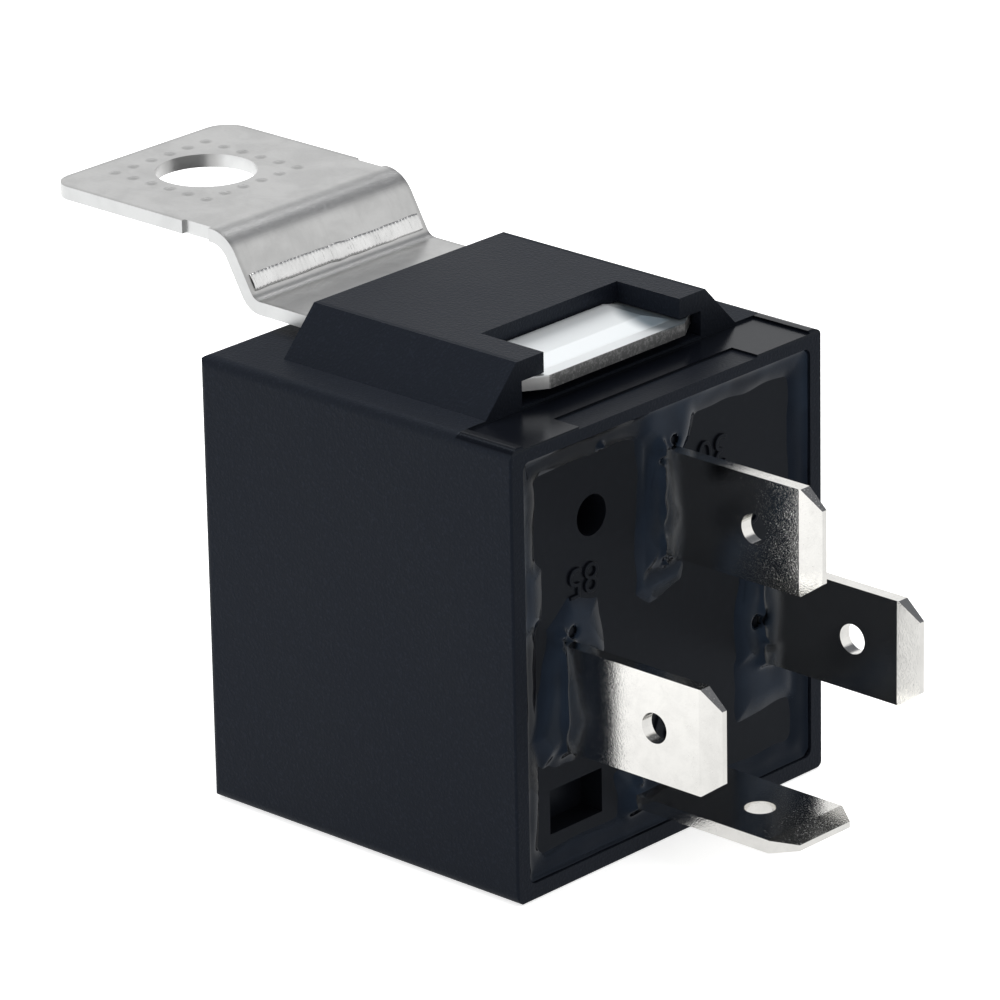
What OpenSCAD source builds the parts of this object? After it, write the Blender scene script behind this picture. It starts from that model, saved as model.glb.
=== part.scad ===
// Automotive relay, four blades, with a clip-on mounting bracket.
// X runs towards the blades, Z is up as the relay lies on one side, and the
// origin is the middle of the face that it rests on.

/* [Cover] */
// Length of the cover from its closed end to its rim
cover_l = 23.8; // [22:0.1:27]
// Width of the cover across the coil blades
cover_w = 26; // [25:0.1:28]
// Height of the cover, from the resting face to the bracket side
cover_h = 27; // [26.4:0.1:28]
// Thickness of the cover's walls
cover_wall = 1; // [0.8:0.05:1.3]
// Radius of the cover's four long edges
edge_r = 0.65; // [0.3:0.05:1.2]
// Radius of the edges at the closed end
end_r = 0.5; // [0.2:0.05:1]
// Radius of the edges at the open rim
rim_r = 0.15; // [0.05:0.05:0.4]
// Radius of the cavity's corners
cavity_r = 0.5; // [0.2:0.05:0.8]

/* [Bracket holder] */
// Height of the holder above the cover
holder_h = 2.7; // [2.4:0.05:3.2]
// Width of the holder at its foot
holder_w = 20.8; // [20:0.1:22]
// How far each side of the holder leans in
holder_lean = 2.55; // [1.5:0.05:3]
// Length of the holder along the cover
holder_l = 15.4; // [13:0.1:17]
// Distance from the rim to the holder
holder_setback = 4.2; // [3.5:0.1:5]
// Thickness of the roof over the bracket
roof_t = 1.2; // [0.9:0.05:1.4]
// Length of the window in the roof
window_l = 4.7; // [4:0.1:6]
// Width of the window in the roof
window_w = 11.3; // [10:0.1:12]
// Width of each rib that the bracket lies on
rib_w = 1; // [0.6:0.1:1.6]
// Distance from the middle to each rib
rib_y = 4.6; // [3:0.1:5.5]
// Depth of the smooth panel in front of the holder
panel_d = 0.15; // [0.05:0.05:0.3]
// Length of the sunk ledge at the rim
ledge_l = 1.9; // [1:0.1:3]

/* [Mounting bracket] */
// Width of the bracket strip
strip_w = 14.6; // [13:0.1:15]
// Thickness of the bracket sheet
strip_t = 0.8; // [0.6:0.05:1]
// Clearance between the bracket and the sides of its slot
strip_side_fit = 0.15; // [0.05:0.05:0.3]
// Clearance between the bracket and the roof
strip_roof_fit = 0.05; // [0.02:0.01:0.15]
// Height from the lower leg up to the screw tab
tab_rise = 3.55; // [2.5:0.05:5]
// Slope of the riser between the two legs in degrees
riser_angle = 60; // [45:1:75]
// Distance from the holder to the start of the riser
riser_gap = 5.3; // [3:0.1:8]
// Length of the screw tab, from the riser to its end
tab_l = 14.45; // [12:0.05:18]
// Inner radius of the upper bend
bend_upper_r = 1.4; // [0.6:0.1:1.8]
// Inner radius of the lower bend
bend_lower_r = 0.8; // [0.5:0.1:1.4]
// Radius of the tab's end corners
tab_corner_r = 1.6; // [1:0.1:5]
// Diameter of the screw hole
hole_d = 6; // [4.5:0.1:7]
// Distance from the end of the tab to the hole's centre
hole_setback = 5.6; // [5:0.1:7]
// How far the strip's front end passes the holder
strip_over = 0.45; // [0:0.05:1]
// Length of the cut corners at the strip's front end
strip_cut_l = 1.1; // [0.5:0.1:2]
// Width of the cut corners at the strip's front end
strip_cut_w = 1.7; // [0.5:0.1:3]
// Height of the latch pad pressed up into the window
latch_h = 0.3; // [0.1:0.05:0.4]
// Gap round the latch pad in the window
latch_gap = 0.2; // [0.1:0.05:0.4]
// Length of the nick in each edge before the upper bend
nick_l = 2.1; // [1:0.1:3]
// Depth of the nick in each edge
nick_d = 0.25; // [0.1:0.05:0.5]
// Spacing of the pressed dimples round the screw hole
dimple_pitch = 1.5; // [1.3:0.05:1.7]
// Radius of each pressed dimple
dimple_r = 0.38; // [0.2:0.02:0.45]
// Depth of each pressed dimple
dimple_d = 0.03; // [0.02:0.01:0.12]

/* [Blades] */
// Width of each blade
blade_w = 6.3; // [5.8:0.1:6.8]
// Thickness of each blade
blade_t = 0.8; // [0.6:0.05:1]
// Length of each blade beyond the rim
blade_l = 11.2; // [8:0.1:13]
// Diameter of the detent hole
detent_d = 1.8; // [1.4:0.1:2.4]
// Distance from the blade's tip to its detent hole
detent_setback = 4.75; // [4:0.05:6]
// Length of the cut corners at the tip
tip_cut_l = 1.4; // [0.6:0.1:2]
// Width of the cut corners at the tip
tip_cut_w = 1; // [0.5:0.1:1.6]
// Length of the tip's bevel
bevel_l = 1.5; // [0.8:0.1:2.2]
// Depth of the tip's bevel on each face
bevel_d = 0.22; // [0.1:0.02:0.28]
// Distance from each side of the cover to the middle of a coil blade
coil_blade_in = 4.6; // [4.4:0.05:4.8]
// Distance from the edge of the raised face to blade 30
margin_30 = 1.5; // [1.2:0.05:1.8]

/* [Base plate] */
// Distance from the rim in to the base plate
rim_depth = 0.8; // [0.5:0.05:1.2]
// Thickness of the base plate
base_t = 2.4; // [1.8:0.1:3]
// Clearance between the base plate and the cover
base_fit = 0.1; // [0.05:0.05:0.2]
// Width of the channel round the raised face
moat_w = 1; // [0.6:0.05:1.2]
// Height of the raised face
face_h = 0.25; // [0.1:0.05:0.4]
// Clearance round each blade in the base plate
slot_fit = 0.05; // [0.02:0.01:0.1]
// Diameter of the vent hole
vent_d = 2.4; // [1.5:0.1:3]
// Distance from the middle to the vent hole
vent_y = 5.95; // [5:0.05:7]
// Distance from the edge of the raised face to the vent hole's centre
vent_in = 3.9; // [3:0.1:5]
// Length of the tool pocket
pocket_l = 4.3; // [3:0.1:5]
// Height of the tool pocket
pocket_h = 2.65; // [2:0.05:2.9]
// Depth of the tool pocket
pocket_d = 1.6; // [0.8:0.1:1.7]
// Height of the ribs that the yoke seats on
seat_h = 0.4; // [0.3:0.05:0.8]
// Width of each of those ribs
seat_w = 1.6; // [1:0.1:2]
// Distance from the coil's axis to each of those ribs
seat_rise = 4; // [3.4:0.1:4.4]
// Depth of the resin in the channel
resin_d = 0.45; // [0.3:0.05:0.5]
// Width of the resin collar round each blade
collar_w = 0.9; // [0.5:0.05:1]
// Height of the resin collars
collar_h = 0.3; // [0.15:0.05:0.5]

/* [Magnet] */
// Room between the yoke and the cover's top wall
top_room = 5; // [4.6:0.1:5.6]
// Clearance between the bobbin's flanges and a resistor lead
flange_side_fit = 1.2; // [0.6:0.1:1.6]
// Clearance between the bobbin's flanges and the fixed contact's foot
flange_foot_fit = 0.45; // [0.2:0.05:0.8]
// Thickness of the bobbin's flanges
flange_t = 0.8; // [0.5:0.1:1.2]
// Height of the coil's axis above the coil blades
coil_rise = 2.1; // [1.9:0.05:2.4]
// Radius of the iron core as a share of the winding's radius
core_share = 0.42; // [0.38:0.01:0.46]
// Thickness of the bobbin's tube
tube_t = 0.8; // [0.5:0.05:1]
// Clearance between the core and the bobbin
core_fit = 0.1; // [0.05:0.05:0.2]
// Radius of the pole disc
pole_r = 3.6; // [3:0.1:4.4]
// Thickness of the pole disc
pole_t = 1; // [0.6:0.1:1.4]
// How far the winding stays below the flanges' edges
winding_in = 0.5; // [0.3:0.1:1.2]
// Thickness of the yoke
yoke_t = 1.4; // [1:0.1:1.8]
// How far each side of the yoke lies inside the flanges' edges
yoke_in = 1.2; // [1.1:0.1:1.6]
// Clearance between the bobbin and the yoke
yoke_fit = 0.1; // [0.05:0.05:0.2]
// Radius of the core's riveted neck
neck_r = 1.7; // [1.2:0.1:1.9]

/* [Armature and contacts] */
// Thickness of the armature
armature_t = 1.2; // [0.9:0.05:1.5]
// Clearance between the armature and the yoke's end
hinge_gap = 0.3; // [0.2:0.05:0.5]
// Air gap between the armature and the pole at rest
pole_gap = 0.6; // [0.58:0.02:0.9]
// Gap between the open contacts
contact_gap = 0.9; // [0.86:0.02:1.2]
// Radius of the contact faces
contact_r = 1.25; // [0.9:0.05:1.3]
// Height of the moving contact's face above its spring
moving_h = 0.9; // [0.6:0.05:1.2]
// Height of the fixed contact's face above its foot
fixed_h = 0.65; // [0.4:0.05:0.9]
// Height of the rivet tail behind the moving contact
tail_h = 0.5; // [0.3:0.05:0.7]
// Thickness of the contact spring
spring_t = 0.25; // [0.15:0.05:0.35]
// Inner radius of the spring's bend round the hinge
spring_r = 1.3; // [1.1:0.05:1.45]
// How far each side of the spring lies inside the yoke's edges
spring_in = 0.8; // [0.5:0.1:1.4]
// Distance from the spring's bend to the yoke rivets
rivet_setback = 7.3; // [6:0.1:8]
// Distance from the yoke rivets to the end of the spring's leg
spring_tail = 3.2; // [2:0.1:4]
// Width of the window in the spring at the hinge
spring_window_w = 3.6; // [2:0.1:4.4]
// Thickness of the rest stop
stop_t = 0.5; // [0.4:0.05:0.6]
// Clearance between the moving contact's tail and the rest stop
stop_gap = 0.3; // [0.2:0.05:0.5]
// Clearance between the rest stop and the cover
rear_clear = 0.4; // [0.2:0.05:0.7]
// Width of the rest stop
stop_w = 3.2; // [2.4:0.1:4.5]
// Clearance between the rest stop and the cover's bottom wall
stop_floor_gap = 0.5; // [0.3:0.05:0.8]
// Clearance between the rest stop and blade 87
stop_blade_gap = 0.75; // [0.4:0.05:1]
// Distance from blade 87 up to the contacts' centre
contact_rise = 2.15; // [2:0.05:2.2]
// Radius of the rivets' shanks
rivet_r = 0.8; // [0.5:0.05:0.9]
// Radius of the rivets' heads
rivet_head_r = 1.3; // [1.1:0.05:1.5]
// Height of the rivets' heads
rivet_head_h = 0.5; // [0.3:0.05:0.7]
// Spacing of the rivets as a share of the yoke's width
rivet_share = 0.48; // [0.44:0.01:0.52]
// Distance from the yoke rivets to the back of terminal 30's foot
foot_back = 3.4; // [2:0.1:4]
// Distance from the yoke rivets to terminal 30's neck
neck_gap = 4.2; // [3:0.1:5]
// How far each side of terminal 30's foot lies inside the yoke's edges
foot_in = 1; // [0.5:0.1:1.5]
// How far each side of terminal 87's riser lies inside its blade's edges
riser_in = 0.4; // [0.2:0.05:0.8]

/* [Resistor and coil leads] */
// Radius of the resistor's body
resistor_r = 1.15; // [0.8:0.05:1.25]
// Length of the resistor's body
resistor_l = 6.4; // [5:0.1:8]
// Length of each cap on the resistor
cap_l = 1.2; // [0.8:0.1:1.6]
// Radius of the resistor's leads
lead_r = 0.3; // [0.2:0.05:0.4]
// Radius of the bend in each resistor lead
lead_bend_r = 0.8; // [0.6:0.1:1.2]
// Radius of the coil's wire ends
wire_r = 0.15; // [0.08:0.01:0.25]
// Width of the wire wrapped round each coil terminal
wrap_w = 0.6; // [0.4:0.1:1]
// Width of the coil terminals' inner legs
leg_w = 2.5; // [2:0.1:3]

/* [Hidden] */
$fn = 64;
eps = 0.01;
bend_steps = 16;

// Planes of the cover
x_rim = cover_l / 2;
x_rear = -cover_l / 2 + cover_wall;
cavity_w = cover_w - 2 * cover_wall;
cavity_h = cover_h - 2 * cover_wall;

// Holder and slot
x_holder_front = x_rim - holder_setback;
x_holder_rear = x_holder_front - holder_l;
z_roof = cover_h + holder_h;
z_slot = z_roof - roof_t;
slot_w = strip_w + 2 * strip_side_fit;
x_window = x_holder_front - window_l;

// Bracket strip
z_strip = z_slot - strip_roof_fit - strip_t;
z_tab = z_strip + tab_rise;
riser_run = tab_rise / tan(riser_angle);
x_riser_low = x_holder_rear - riser_gap;
x_riser_high = x_riser_low - riser_run;
x_tab_end = x_riser_high - tab_l;
x_hole = x_tab_end + hole_setback;
x_strip_front = x_holder_front + strip_over;
bend_upper_set = (bend_upper_r + strip_t) * tan(riser_angle / 2);
bend_lower_set = bend_lower_r * tan(riser_angle / 2);

// Base plate
x_base_out = x_rim - rim_depth;
x_base_in = x_base_out - base_t;
x_face = x_base_out + face_h;

// Blades
x_tip = x_rim + blade_l;
z_stop = cover_wall + stop_floor_gap;
z_87 = z_stop + stop_t + stop_blade_gap + blade_t / 2;
z_30 = cover_h - cover_wall - moat_w - margin_30 - blade_w / 2;
y_coil_blade = cover_w / 2 - coil_blade_in;
y_leg_face = y_coil_blade - blade_t / 2;

// Stack behind the coil, from the closed end of the cover
x_stop = x_rear + rear_clear + stop_t;
x_spring_back = x_stop + stop_gap + tail_h;
x_arm_back = x_spring_back + spring_t;
x_arm_front = x_arm_back + armature_t;
x_yoke_end = x_arm_front + hinge_gap;
x_pole = x_arm_front + pole_gap;
x_fixed_face = x_arm_back + moving_h + contact_gap;
x_foot_back = x_fixed_face + fixed_h;

// Magnet
foot_over = 0.1;
x_foot_out = x_base_in - seat_h;
x_foot_in = x_foot_out - yoke_t;
x_flange_back = x_pole + pole_t;
z_contact = z_87 + contact_rise;
z_foot_top = z_contact + contact_r + foot_over;
z_flange_low = z_foot_top + flange_foot_fit;
z_yoke_back = cover_h - cover_wall - top_room;
z_yoke = z_yoke_back - yoke_t;
flange_h = z_yoke - yoke_fit - z_flange_low;
flange_w = 2 * (y_leg_face - 2 * lead_r - flange_side_fit);
z_coil = z_flange_low + flange_h / 2;
z_coil_blades = z_coil - coil_rise;
z_vent = cover_h - cover_wall - moat_w - vent_in;
z_foot_low = z_flange_low + 0.9;
winding_r = min(flange_w, flange_h) / 2 - winding_in;
core_r = core_share * winding_r;
yoke_w = flange_w - 2 * yoke_in;
spring_w = yoke_w - 2 * spring_in;
foot_w = yoke_w - 2 * foot_in;
rivet_y = rivet_share * yoke_w / 2;
tube_r = core_r + core_fit + tube_t;
peg_r = 0.5;
peg_y = yoke_w / 2 + 0.2 + peg_r;
peg_z = 3.6;

// Armature, spring and contacts
z_arm_top = z_yoke_back - 0.3;
z_arm_low = z_contact + contact_r + 0.35;
z_spring_bend = z_yoke_back - spring_r;
z_arm_rivet = z_coil + 1.7;
x_spring_bend = x_arm_back + spring_r;
x_yoke_rivet = x_spring_bend + rivet_setback;
x_spring_end = x_yoke_rivet + spring_tail;
heel = 1;
bend_r = 0.5;

// Coil leads and resistor
x_leg = x_base_in - 4.5;
x_wrap = x_leg + 0.3;
x_resistor = x_wrap + wrap_w + 1.2;
z_resistor = (z_87 + blade_t / 2 + z_flange_low) / 2;

// Plain box between two corners
module box(x0, x1, y0, y1, z0, z1) {
    translate([x0, y0, z0])
        cube([x1 - x0, y1 - y0, z1 - z0]);
}

// Round bar along X
module bar_x(x0, x1, y, z, r) {
    translate([x0, y, z])
        rotate([0, 90, 0])
            cylinder(h = x1 - x0, r = r);
}

// Outline drawn in Y and Z, pushed out along +X
module along_x(x0, x1) {
    translate([x0, 0, 0])
        rotate([90, 0, 90])
            linear_extrude(x1 - x0)
                children();
}

// Outline drawn in X and Z, pushed out evenly along Y
module along_y(w) {
    translate([0, w / 2, 0])
        rotate([90, 0, 0])
            linear_extrude(w)
                children();
}

// Rectangle with round corners
module round_rect(a, b, r) {
    square([a - 2 * r, b], center = true);
    square([a, b - 2 * r], center = true);
    for (sx = [-1, 1], sy = [-1, 1])
        translate([sx * (a / 2 - r), sy * (b / 2 - r)])
            circle(r);
}

// Sheet bent in the X-Z plane about an axis along Y
module sheet_bend(cx, cz, r_in, t, w, from, sweep) {
    translate([cx, 0, cz])
        rotate([90, 0, 0])
            rotate([0, 0, from])
                rotate_extrude(angle = sweep)
                    translate([r_in, -w / 2])
                        square([t, w]);
}

// Outline of a blade in the base plate, with its clearance
module blade_slot(fit) {
    along_x(x_base_in - 1, x_rim + 1) {
        for (s = [-1, 1])
            translate([s * y_coil_blade, z_coil_blades])
                square([blade_t + 2 * fit, blade_w + 2 * fit], center = true);
        translate([0, z_30])
            square([blade_t + 2 * fit, blade_w + 2 * fit], center = true);
        translate([0, z_87])
            square([blade_w + 2 * fit, blade_t + 2 * fit], center = true);
    }
}

// Blade that stands across Y, from x0 to its tip
module blade(x0) {
    difference() {
        intersection() {
            along_y(blade_t)
                polygon([
                    [x0, -blade_w / 2],
                    [x_tip - tip_cut_l, -blade_w / 2],
                    [x_tip, -blade_w / 2 + tip_cut_w],
                    [x_tip, blade_w / 2 - tip_cut_w],
                    [x_tip - tip_cut_l, blade_w / 2],
                    [x0, blade_w / 2]
                ]);
            translate([0, 0, -blade_w])
                linear_extrude(2 * blade_w)
                    polygon([
                        [x0, -blade_t / 2],
                        [x_tip - bevel_l, -blade_t / 2],
                        [x_tip, -blade_t / 2 + bevel_d],
                        [x_tip, blade_t / 2 - bevel_d],
                        [x_tip - bevel_l, blade_t / 2],
                        [x0, blade_t / 2]
                    ]);
        }
        translate([x_tip - detent_setback, 0, 0])
            rotate([90, 0, 0])
                cylinder(h = 2 * blade_t, d = detent_d, center = true);
    }
}

// Rectangle with larger corners at its low end than at its high end
module end_rect(a, b, r_low, r_high) {
    translate([r_low - a / 2, -b / 2])
        square([a - r_low - r_high, b]);
    translate([-a / 2, r_low - b / 2])
        square([a - r_high, b - 2 * r_low]);
    translate([a / 2 - 2 * r_high, r_high - b / 2])
        square([2 * r_high, b - 2 * r_high]);
    for (s = [-1, 1]) {
        translate([r_low - a / 2, s * (b / 2 - r_low)])
            circle(r_low);
        translate([a / 2 - r_high, s * (b / 2 - r_high)])
            circle(r_high);
    }
}

// Outer block of the cover: round long edges and closed end, crisp rim
module cover_block() {
    intersection() {
        along_x(-cover_l / 2, x_rim)
            translate([0, cover_h / 2])
                round_rect(cover_w, cover_h, edge_r);
        along_y(cover_w)
            translate([0, cover_h / 2])
                end_rect(cover_l, cover_h, end_r, rim_r);
        linear_extrude(cover_h)
            end_rect(cover_l, cover_w, end_r, rim_r);
    }
}

// Dovetail block that the bracket slides into
module holder_block() {
    along_x(x_holder_rear, x_holder_front)
        polygon([
            [-holder_w / 2, cover_h - 0.5],
            [-holder_w / 2, cover_h],
            [-holder_w / 2 + holder_lean, z_roof],
            [holder_w / 2 - holder_lean, z_roof],
            [holder_w / 2, cover_h],
            [holder_w / 2, cover_h - 0.5]
        ]);
}

module cover() color("#1c1f24") {
    difference() {
        union() {
            cover_block();
            holder_block();
        }
        along_x(x_rear, x_rim + 1)
            translate([0, cover_h / 2])
                round_rect(cavity_w, cavity_h, cavity_r);
        difference() {
            box(x_holder_rear - 1, x_holder_front + 1, -slot_w / 2, slot_w / 2, cover_h, z_slot);
            for (s = [-1, 1])
                translate([0, s * rib_y, 0])
                    box(x_holder_rear, x_holder_front - 1.5, -rib_w / 2, rib_w / 2,
                        cover_h - 1, z_strip);
        }
        box(x_window, x_holder_front + 1, -window_w / 2, window_w / 2, z_slot - eps, z_roof + 1);
        box(x_holder_front, x_rim + 1, -cover_w / 2 + edge_r + 0.4, cover_w / 2 - edge_r - 0.4,
            cover_h - panel_d, cover_h + 1);
        box(x_rim - ledge_l, x_rim + 1, -slot_w / 2, slot_w / 2,
            cover_h - 2 * panel_d, cover_h + 1);
    }
}

module base_plate() color("#23262b") {
    y_out = cavity_w / 2 - base_fit;
    z_out = cavity_h / 2 - base_fit;
    difference() {
        union() {
            along_x(x_base_in, x_base_out)
                translate([0, cover_h / 2])
                    round_rect(2 * y_out, 2 * z_out, cavity_r);
            along_x(x_base_out - eps, x_face)
                translate([0, cover_h / 2])
                    round_rect(cavity_w - 2 * moat_w, cavity_h - 2 * moat_w, cavity_r);
            for (s = [-1, 1])
                box(x_foot_out, x_base_in + eps, -yoke_w / 2, yoke_w / 2,
                    z_coil + s * seat_rise - seat_w / 2, z_coil + s * seat_rise + seat_w / 2);
        }
        blade_slot(slot_fit);
        bar_x(x_base_in - 1, x_face + 1, -vent_y, z_vent, vent_d / 2);
        box(x_face - pocket_d, x_face + 1,
            -cavity_w / 2 + moat_w + 1.3, -cavity_w / 2 + moat_w + 1.3 + pocket_l,
            z_87 - blade_t / 2 + 0.4, z_87 - blade_t / 2 + 0.4 + pocket_h);
        bar_x(x_base_in - eps, x_base_in + 0.4, 0, z_coil, neck_r + 0.9);
        box(x_base_in - 1, x_base_in + 1.2, -stop_w / 2 - slot_fit, stop_w / 2 + slot_fit,
            z_stop - slot_fit, z_stop + stop_t + slot_fit);
        for (sy = [-1, 1], sz = [-1, 1])
            bar_x(x_base_in - 1, x_base_in + 0.9, sy * peg_y, z_coil + sz * peg_z,
                  peg_r + slot_fit);
    }
}

// Resin that fills the channel, rounds each blade and bonds cover to base
module sealing_resin() color("#101216") {
    difference() {
        union() {
            difference() {
                along_x(x_base_out, x_base_out + resin_d)
                    translate([0, cover_h / 2])
                        round_rect(cavity_w, cavity_h, cavity_r);
                along_x(x_base_out - 1, x_face)
                    translate([0, cover_h / 2])
                        round_rect(cavity_w - 2 * moat_w, cavity_h - 2 * moat_w, cavity_r);
                along_x(x_face - eps, x_rim)
                    translate([0, cover_h / 2])
                        round_rect(cavity_w - 2 * moat_w - 0.4, cavity_h - 2 * moat_w - 0.4,
                                   cavity_r);
            }
            along_x(x_face, x_face + collar_h) {
                for (s = [-1, 1]) {
                    translate([s * y_coil_blade, z_coil_blades])
                        round_rect(blade_t + 2 * collar_w, blade_w + 2 * collar_w, collar_w);
                    translate([s * (y_coil_blade + cavity_w / 2 - moat_w) / 2, z_coil_blades])
                        square([cavity_w / 2 - moat_w - y_coil_blade, blade_w - 1],
                               center = true);
                }
                translate([0, z_30])
                    round_rect(blade_t + 2 * collar_w, blade_w + 2 * collar_w, collar_w);
                translate([0.4, (z_30 + blade_w / 2 + cover_h - cover_wall - moat_w) / 2])
                    square([4.6, cover_h - cover_wall - moat_w - z_30 - blade_w / 2],
                           center = true);
                translate([0, z_87])
                    round_rect(blade_w + 2 * collar_w, blade_t + 2 * collar_w, collar_w);
            }
        }
        blade_slot(0);
    }
}

// Points along an arc, in equal steps
function arc(cx, cz, r, from, to) =
    [for (i = [0 : bend_steps])
        let (a = from + (to - from) * i / bend_steps)
            [cx + r * cos(a), cz + r * sin(a)]];

// Side outline of the bent strip: lower leg, riser and screw tab
module strip_profile() {
    x_low = x_riser_low + bend_lower_set;
    z_low = z_strip + strip_t + bend_lower_r;
    x_high = x_riser_high - bend_upper_set;
    z_high = z_tab - bend_upper_r;
    polygon(concat(
        [[x_strip_front, z_strip + strip_t]],
        arc(x_low, z_low, bend_lower_r, 270, 270 - riser_angle),
        arc(x_high, z_high, bend_upper_r + strip_t, 90 - riser_angle, 90),
        [[x_tab_end, z_tab + strip_t], [x_tab_end, z_tab]],
        arc(x_high, z_high, bend_upper_r, 90, 90 - riser_angle),
        arc(x_low, z_low, bend_lower_r + strip_t, 270 - riser_angle, 270),
        [[x_strip_front, z_strip]]
    ));
}

// Flat outline of the strip from above, with its cut and round corners
module strip_plan() {
    half = strip_w / 2;
    x_nick = x_riser_high - bend_upper_set - nick_l - 0.2;
    difference() {
        union() {
            translate([x_tab_end + 2 * tab_corner_r, 0])
                round_rect(4 * tab_corner_r, strip_w, tab_corner_r);
            polygon([
                [x_tab_end + 2 * tab_corner_r, -half],
                [x_strip_front - strip_cut_l, -half],
                [x_strip_front, -half + strip_cut_w],
                [x_strip_front, half - strip_cut_w],
                [x_strip_front - strip_cut_l, half],
                [x_tab_end + 2 * tab_corner_r, half]
            ]);
        }
        for (s = [-1, 1])
            translate([x_nick + nick_l / 2, s * half])
                square([nick_l, 2 * nick_d], center = true);
    }
}

module mounting_bracket() color("#b9bcc0")
    difference() {
        union() {
            intersection() {
                along_y(strip_w + 1)
                    strip_profile();
                translate([0, 0, z_strip - 1])
                    linear_extrude(tab_rise + strip_t + 2)
                        strip_plan();
            }
            latch_pad();
        }
        translate([x_hole, 0, z_tab - 1])
            cylinder(h = strip_t + 2, d = hole_d);
        for (i = [-2.5 : 2.5], j = [-2.5 : 2.5])
            if (max(abs(i), abs(j)) > 2)
                translate([x_hole + i * dimple_pitch, j * dimple_pitch,
                           z_tab + strip_t - dimple_d])
                    cylinder(h = 2 * dimple_d, r1 = dimple_r / 2, r2 = 1.5 * dimple_r);
    }

// Raised pad that drops into the window and keeps the bracket in
module latch_pad() {
    x0 = x_window + latch_gap;
    x1 = x_holder_front;
    z0 = z_strip + strip_t;
    w = window_w - 2 * latch_gap;
    intersection() {
        along_y(w)
            polygon([[x0, z0 - 0.3], [x0, z0 + latch_h], [x1 - 1.6, z0 + latch_h],
                     [x1 - 0.4, z0], [x1 - 0.4, z0 - 0.3]]);
        along_x(x0 - 1, x1)
            polygon([[-w / 2, z0 - 0.3], [-w / 2, z0], [-w / 2 + 1.2, z0 + latch_h],
                     [w / 2 - 1.2, z0 + latch_h], [w / 2, z0], [w / 2, z0 - 0.3]]);
    }
}

// Terminal 30: blade, bent neck and the foot riveted to the yoke
module terminal_30() color("#c9cbcd") {
    z_foot = z_yoke_back + spring_t;
    x_neck = x_yoke_rivet + neck_gap;
    y_bend = -blade_t / 2 - bend_r;
    difference() {
        union() {
            translate([0, 0, z_30])
                blade(x_base_in);
            box(x_neck, x_base_in + eps, -blade_t / 2, blade_t / 2,
                z_foot + blade_t + bend_r, z_30 + blade_w / 2);
            translate([x_neck, y_bend, z_foot + blade_t + bend_r])
                rotate([90, 0, 90])
                    rotate([0, 0, 270])
                        rotate_extrude(angle = 90)
                            translate([bend_r, 0])
                                square([blade_t, x_base_in - x_neck]);
            box(x_neck - 1, x_base_in - seat_h, -foot_w / 2, y_bend, z_foot, z_foot + blade_t);
            box(x_yoke_rivet - foot_back, x_neck, -foot_w / 2, foot_w / 2,
                z_foot, z_foot + blade_t);
        }
        rivet_holes_yoke();
    }
}

// Terminal 87: blade, riser under the coil and the foot of the fixed contact
module terminal_87() color("#c9cbcd") {
    x_front = x_foot_back + blade_t;
    riser_w = blade_w - 2 * riser_in;
    difference() {
        union() {
            translate([0, 0, z_87])
                rotate([90, 0, 0])
                    blade(x_base_in);
            box(x_front + bend_r, x_base_in + eps, -riser_w / 2, riser_w / 2,
                z_87 - blade_t / 2, z_87 + blade_t / 2);
            sheet_bend(x_front + bend_r, z_87 + blade_t / 2 + bend_r, bend_r, blade_t,
                       riser_w, 180, 90);
            along_x(x_foot_back, x_front)
                polygon([
                    [-riser_w / 2, z_87 + blade_t / 2 + bend_r],
                    [riser_w / 2, z_87 + blade_t / 2 + bend_r],
                    [riser_w / 2, z_contact],
                    [contact_r + 0.2, z_foot_top],
                    [-contact_r - 0.2, z_foot_top],
                    [-riser_w / 2, z_contact]
                ]);
        }
        bar_x(x_foot_back - 1, x_front + 1, 0, z_contact, rivet_r);
    }
}

// Coil terminal: blade and the narrow leg that the coil wire is wrapped on
module coil_terminal() {
    blade(x_base_in);
    box(x_leg, x_base_in + eps, -blade_t / 2, blade_t / 2, -leg_w / 2, leg_w / 2);
}

module terminal_85() color("#c9cbcd")
    translate([0, -y_coil_blade, z_coil_blades])
        coil_terminal();

module terminal_86() color("#c9cbcd")
    translate([0, y_coil_blade, z_coil_blades])
        coil_terminal();

// Strip under blade 87 that ends behind the moving contact
module rest_stop() color("#b08d57") {
    box(x_stop + bend_r, x_base_in + 1.15, -stop_w / 2, stop_w / 2, z_stop, z_stop + stop_t);
    sheet_bend(x_stop + bend_r, z_stop + stop_t + bend_r, bend_r, stop_t, stop_w, 180, 90);
    box(x_stop - stop_t, x_stop, -stop_w / 2, stop_w / 2,
        z_stop + stop_t + bend_r, z_contact + contact_r);
}

module bobbin() color("#e8e2d0") {
    difference() {
        union() {
            for (x = [x_flange_back, x_foot_in - flange_t])
                along_x(x, x + flange_t)
                    translate([0, z_coil])
                        round_rect(flange_w, flange_h, 0.8);
            bar_x(x_flange_back, x_foot_in, 0, z_coil, tube_r);
            for (sy = [-1, 1], sz = [-1, 1])
                bar_x(x_foot_in - eps, x_base_in + 0.8, sy * peg_y, z_coil + sz * peg_z, peg_r);
        }
        bar_x(x_flange_back - 1, x_foot_in + 1, 0, z_coil, core_r + core_fit);
    }
}

module coil_winding() color("#b5652f")
    difference() {
        bar_x(x_flange_back + flange_t, x_foot_in - flange_t, 0, z_coil, winding_r);
        bar_x(x_flange_back, x_foot_in, 0, z_coil, tube_r);
    }

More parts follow.
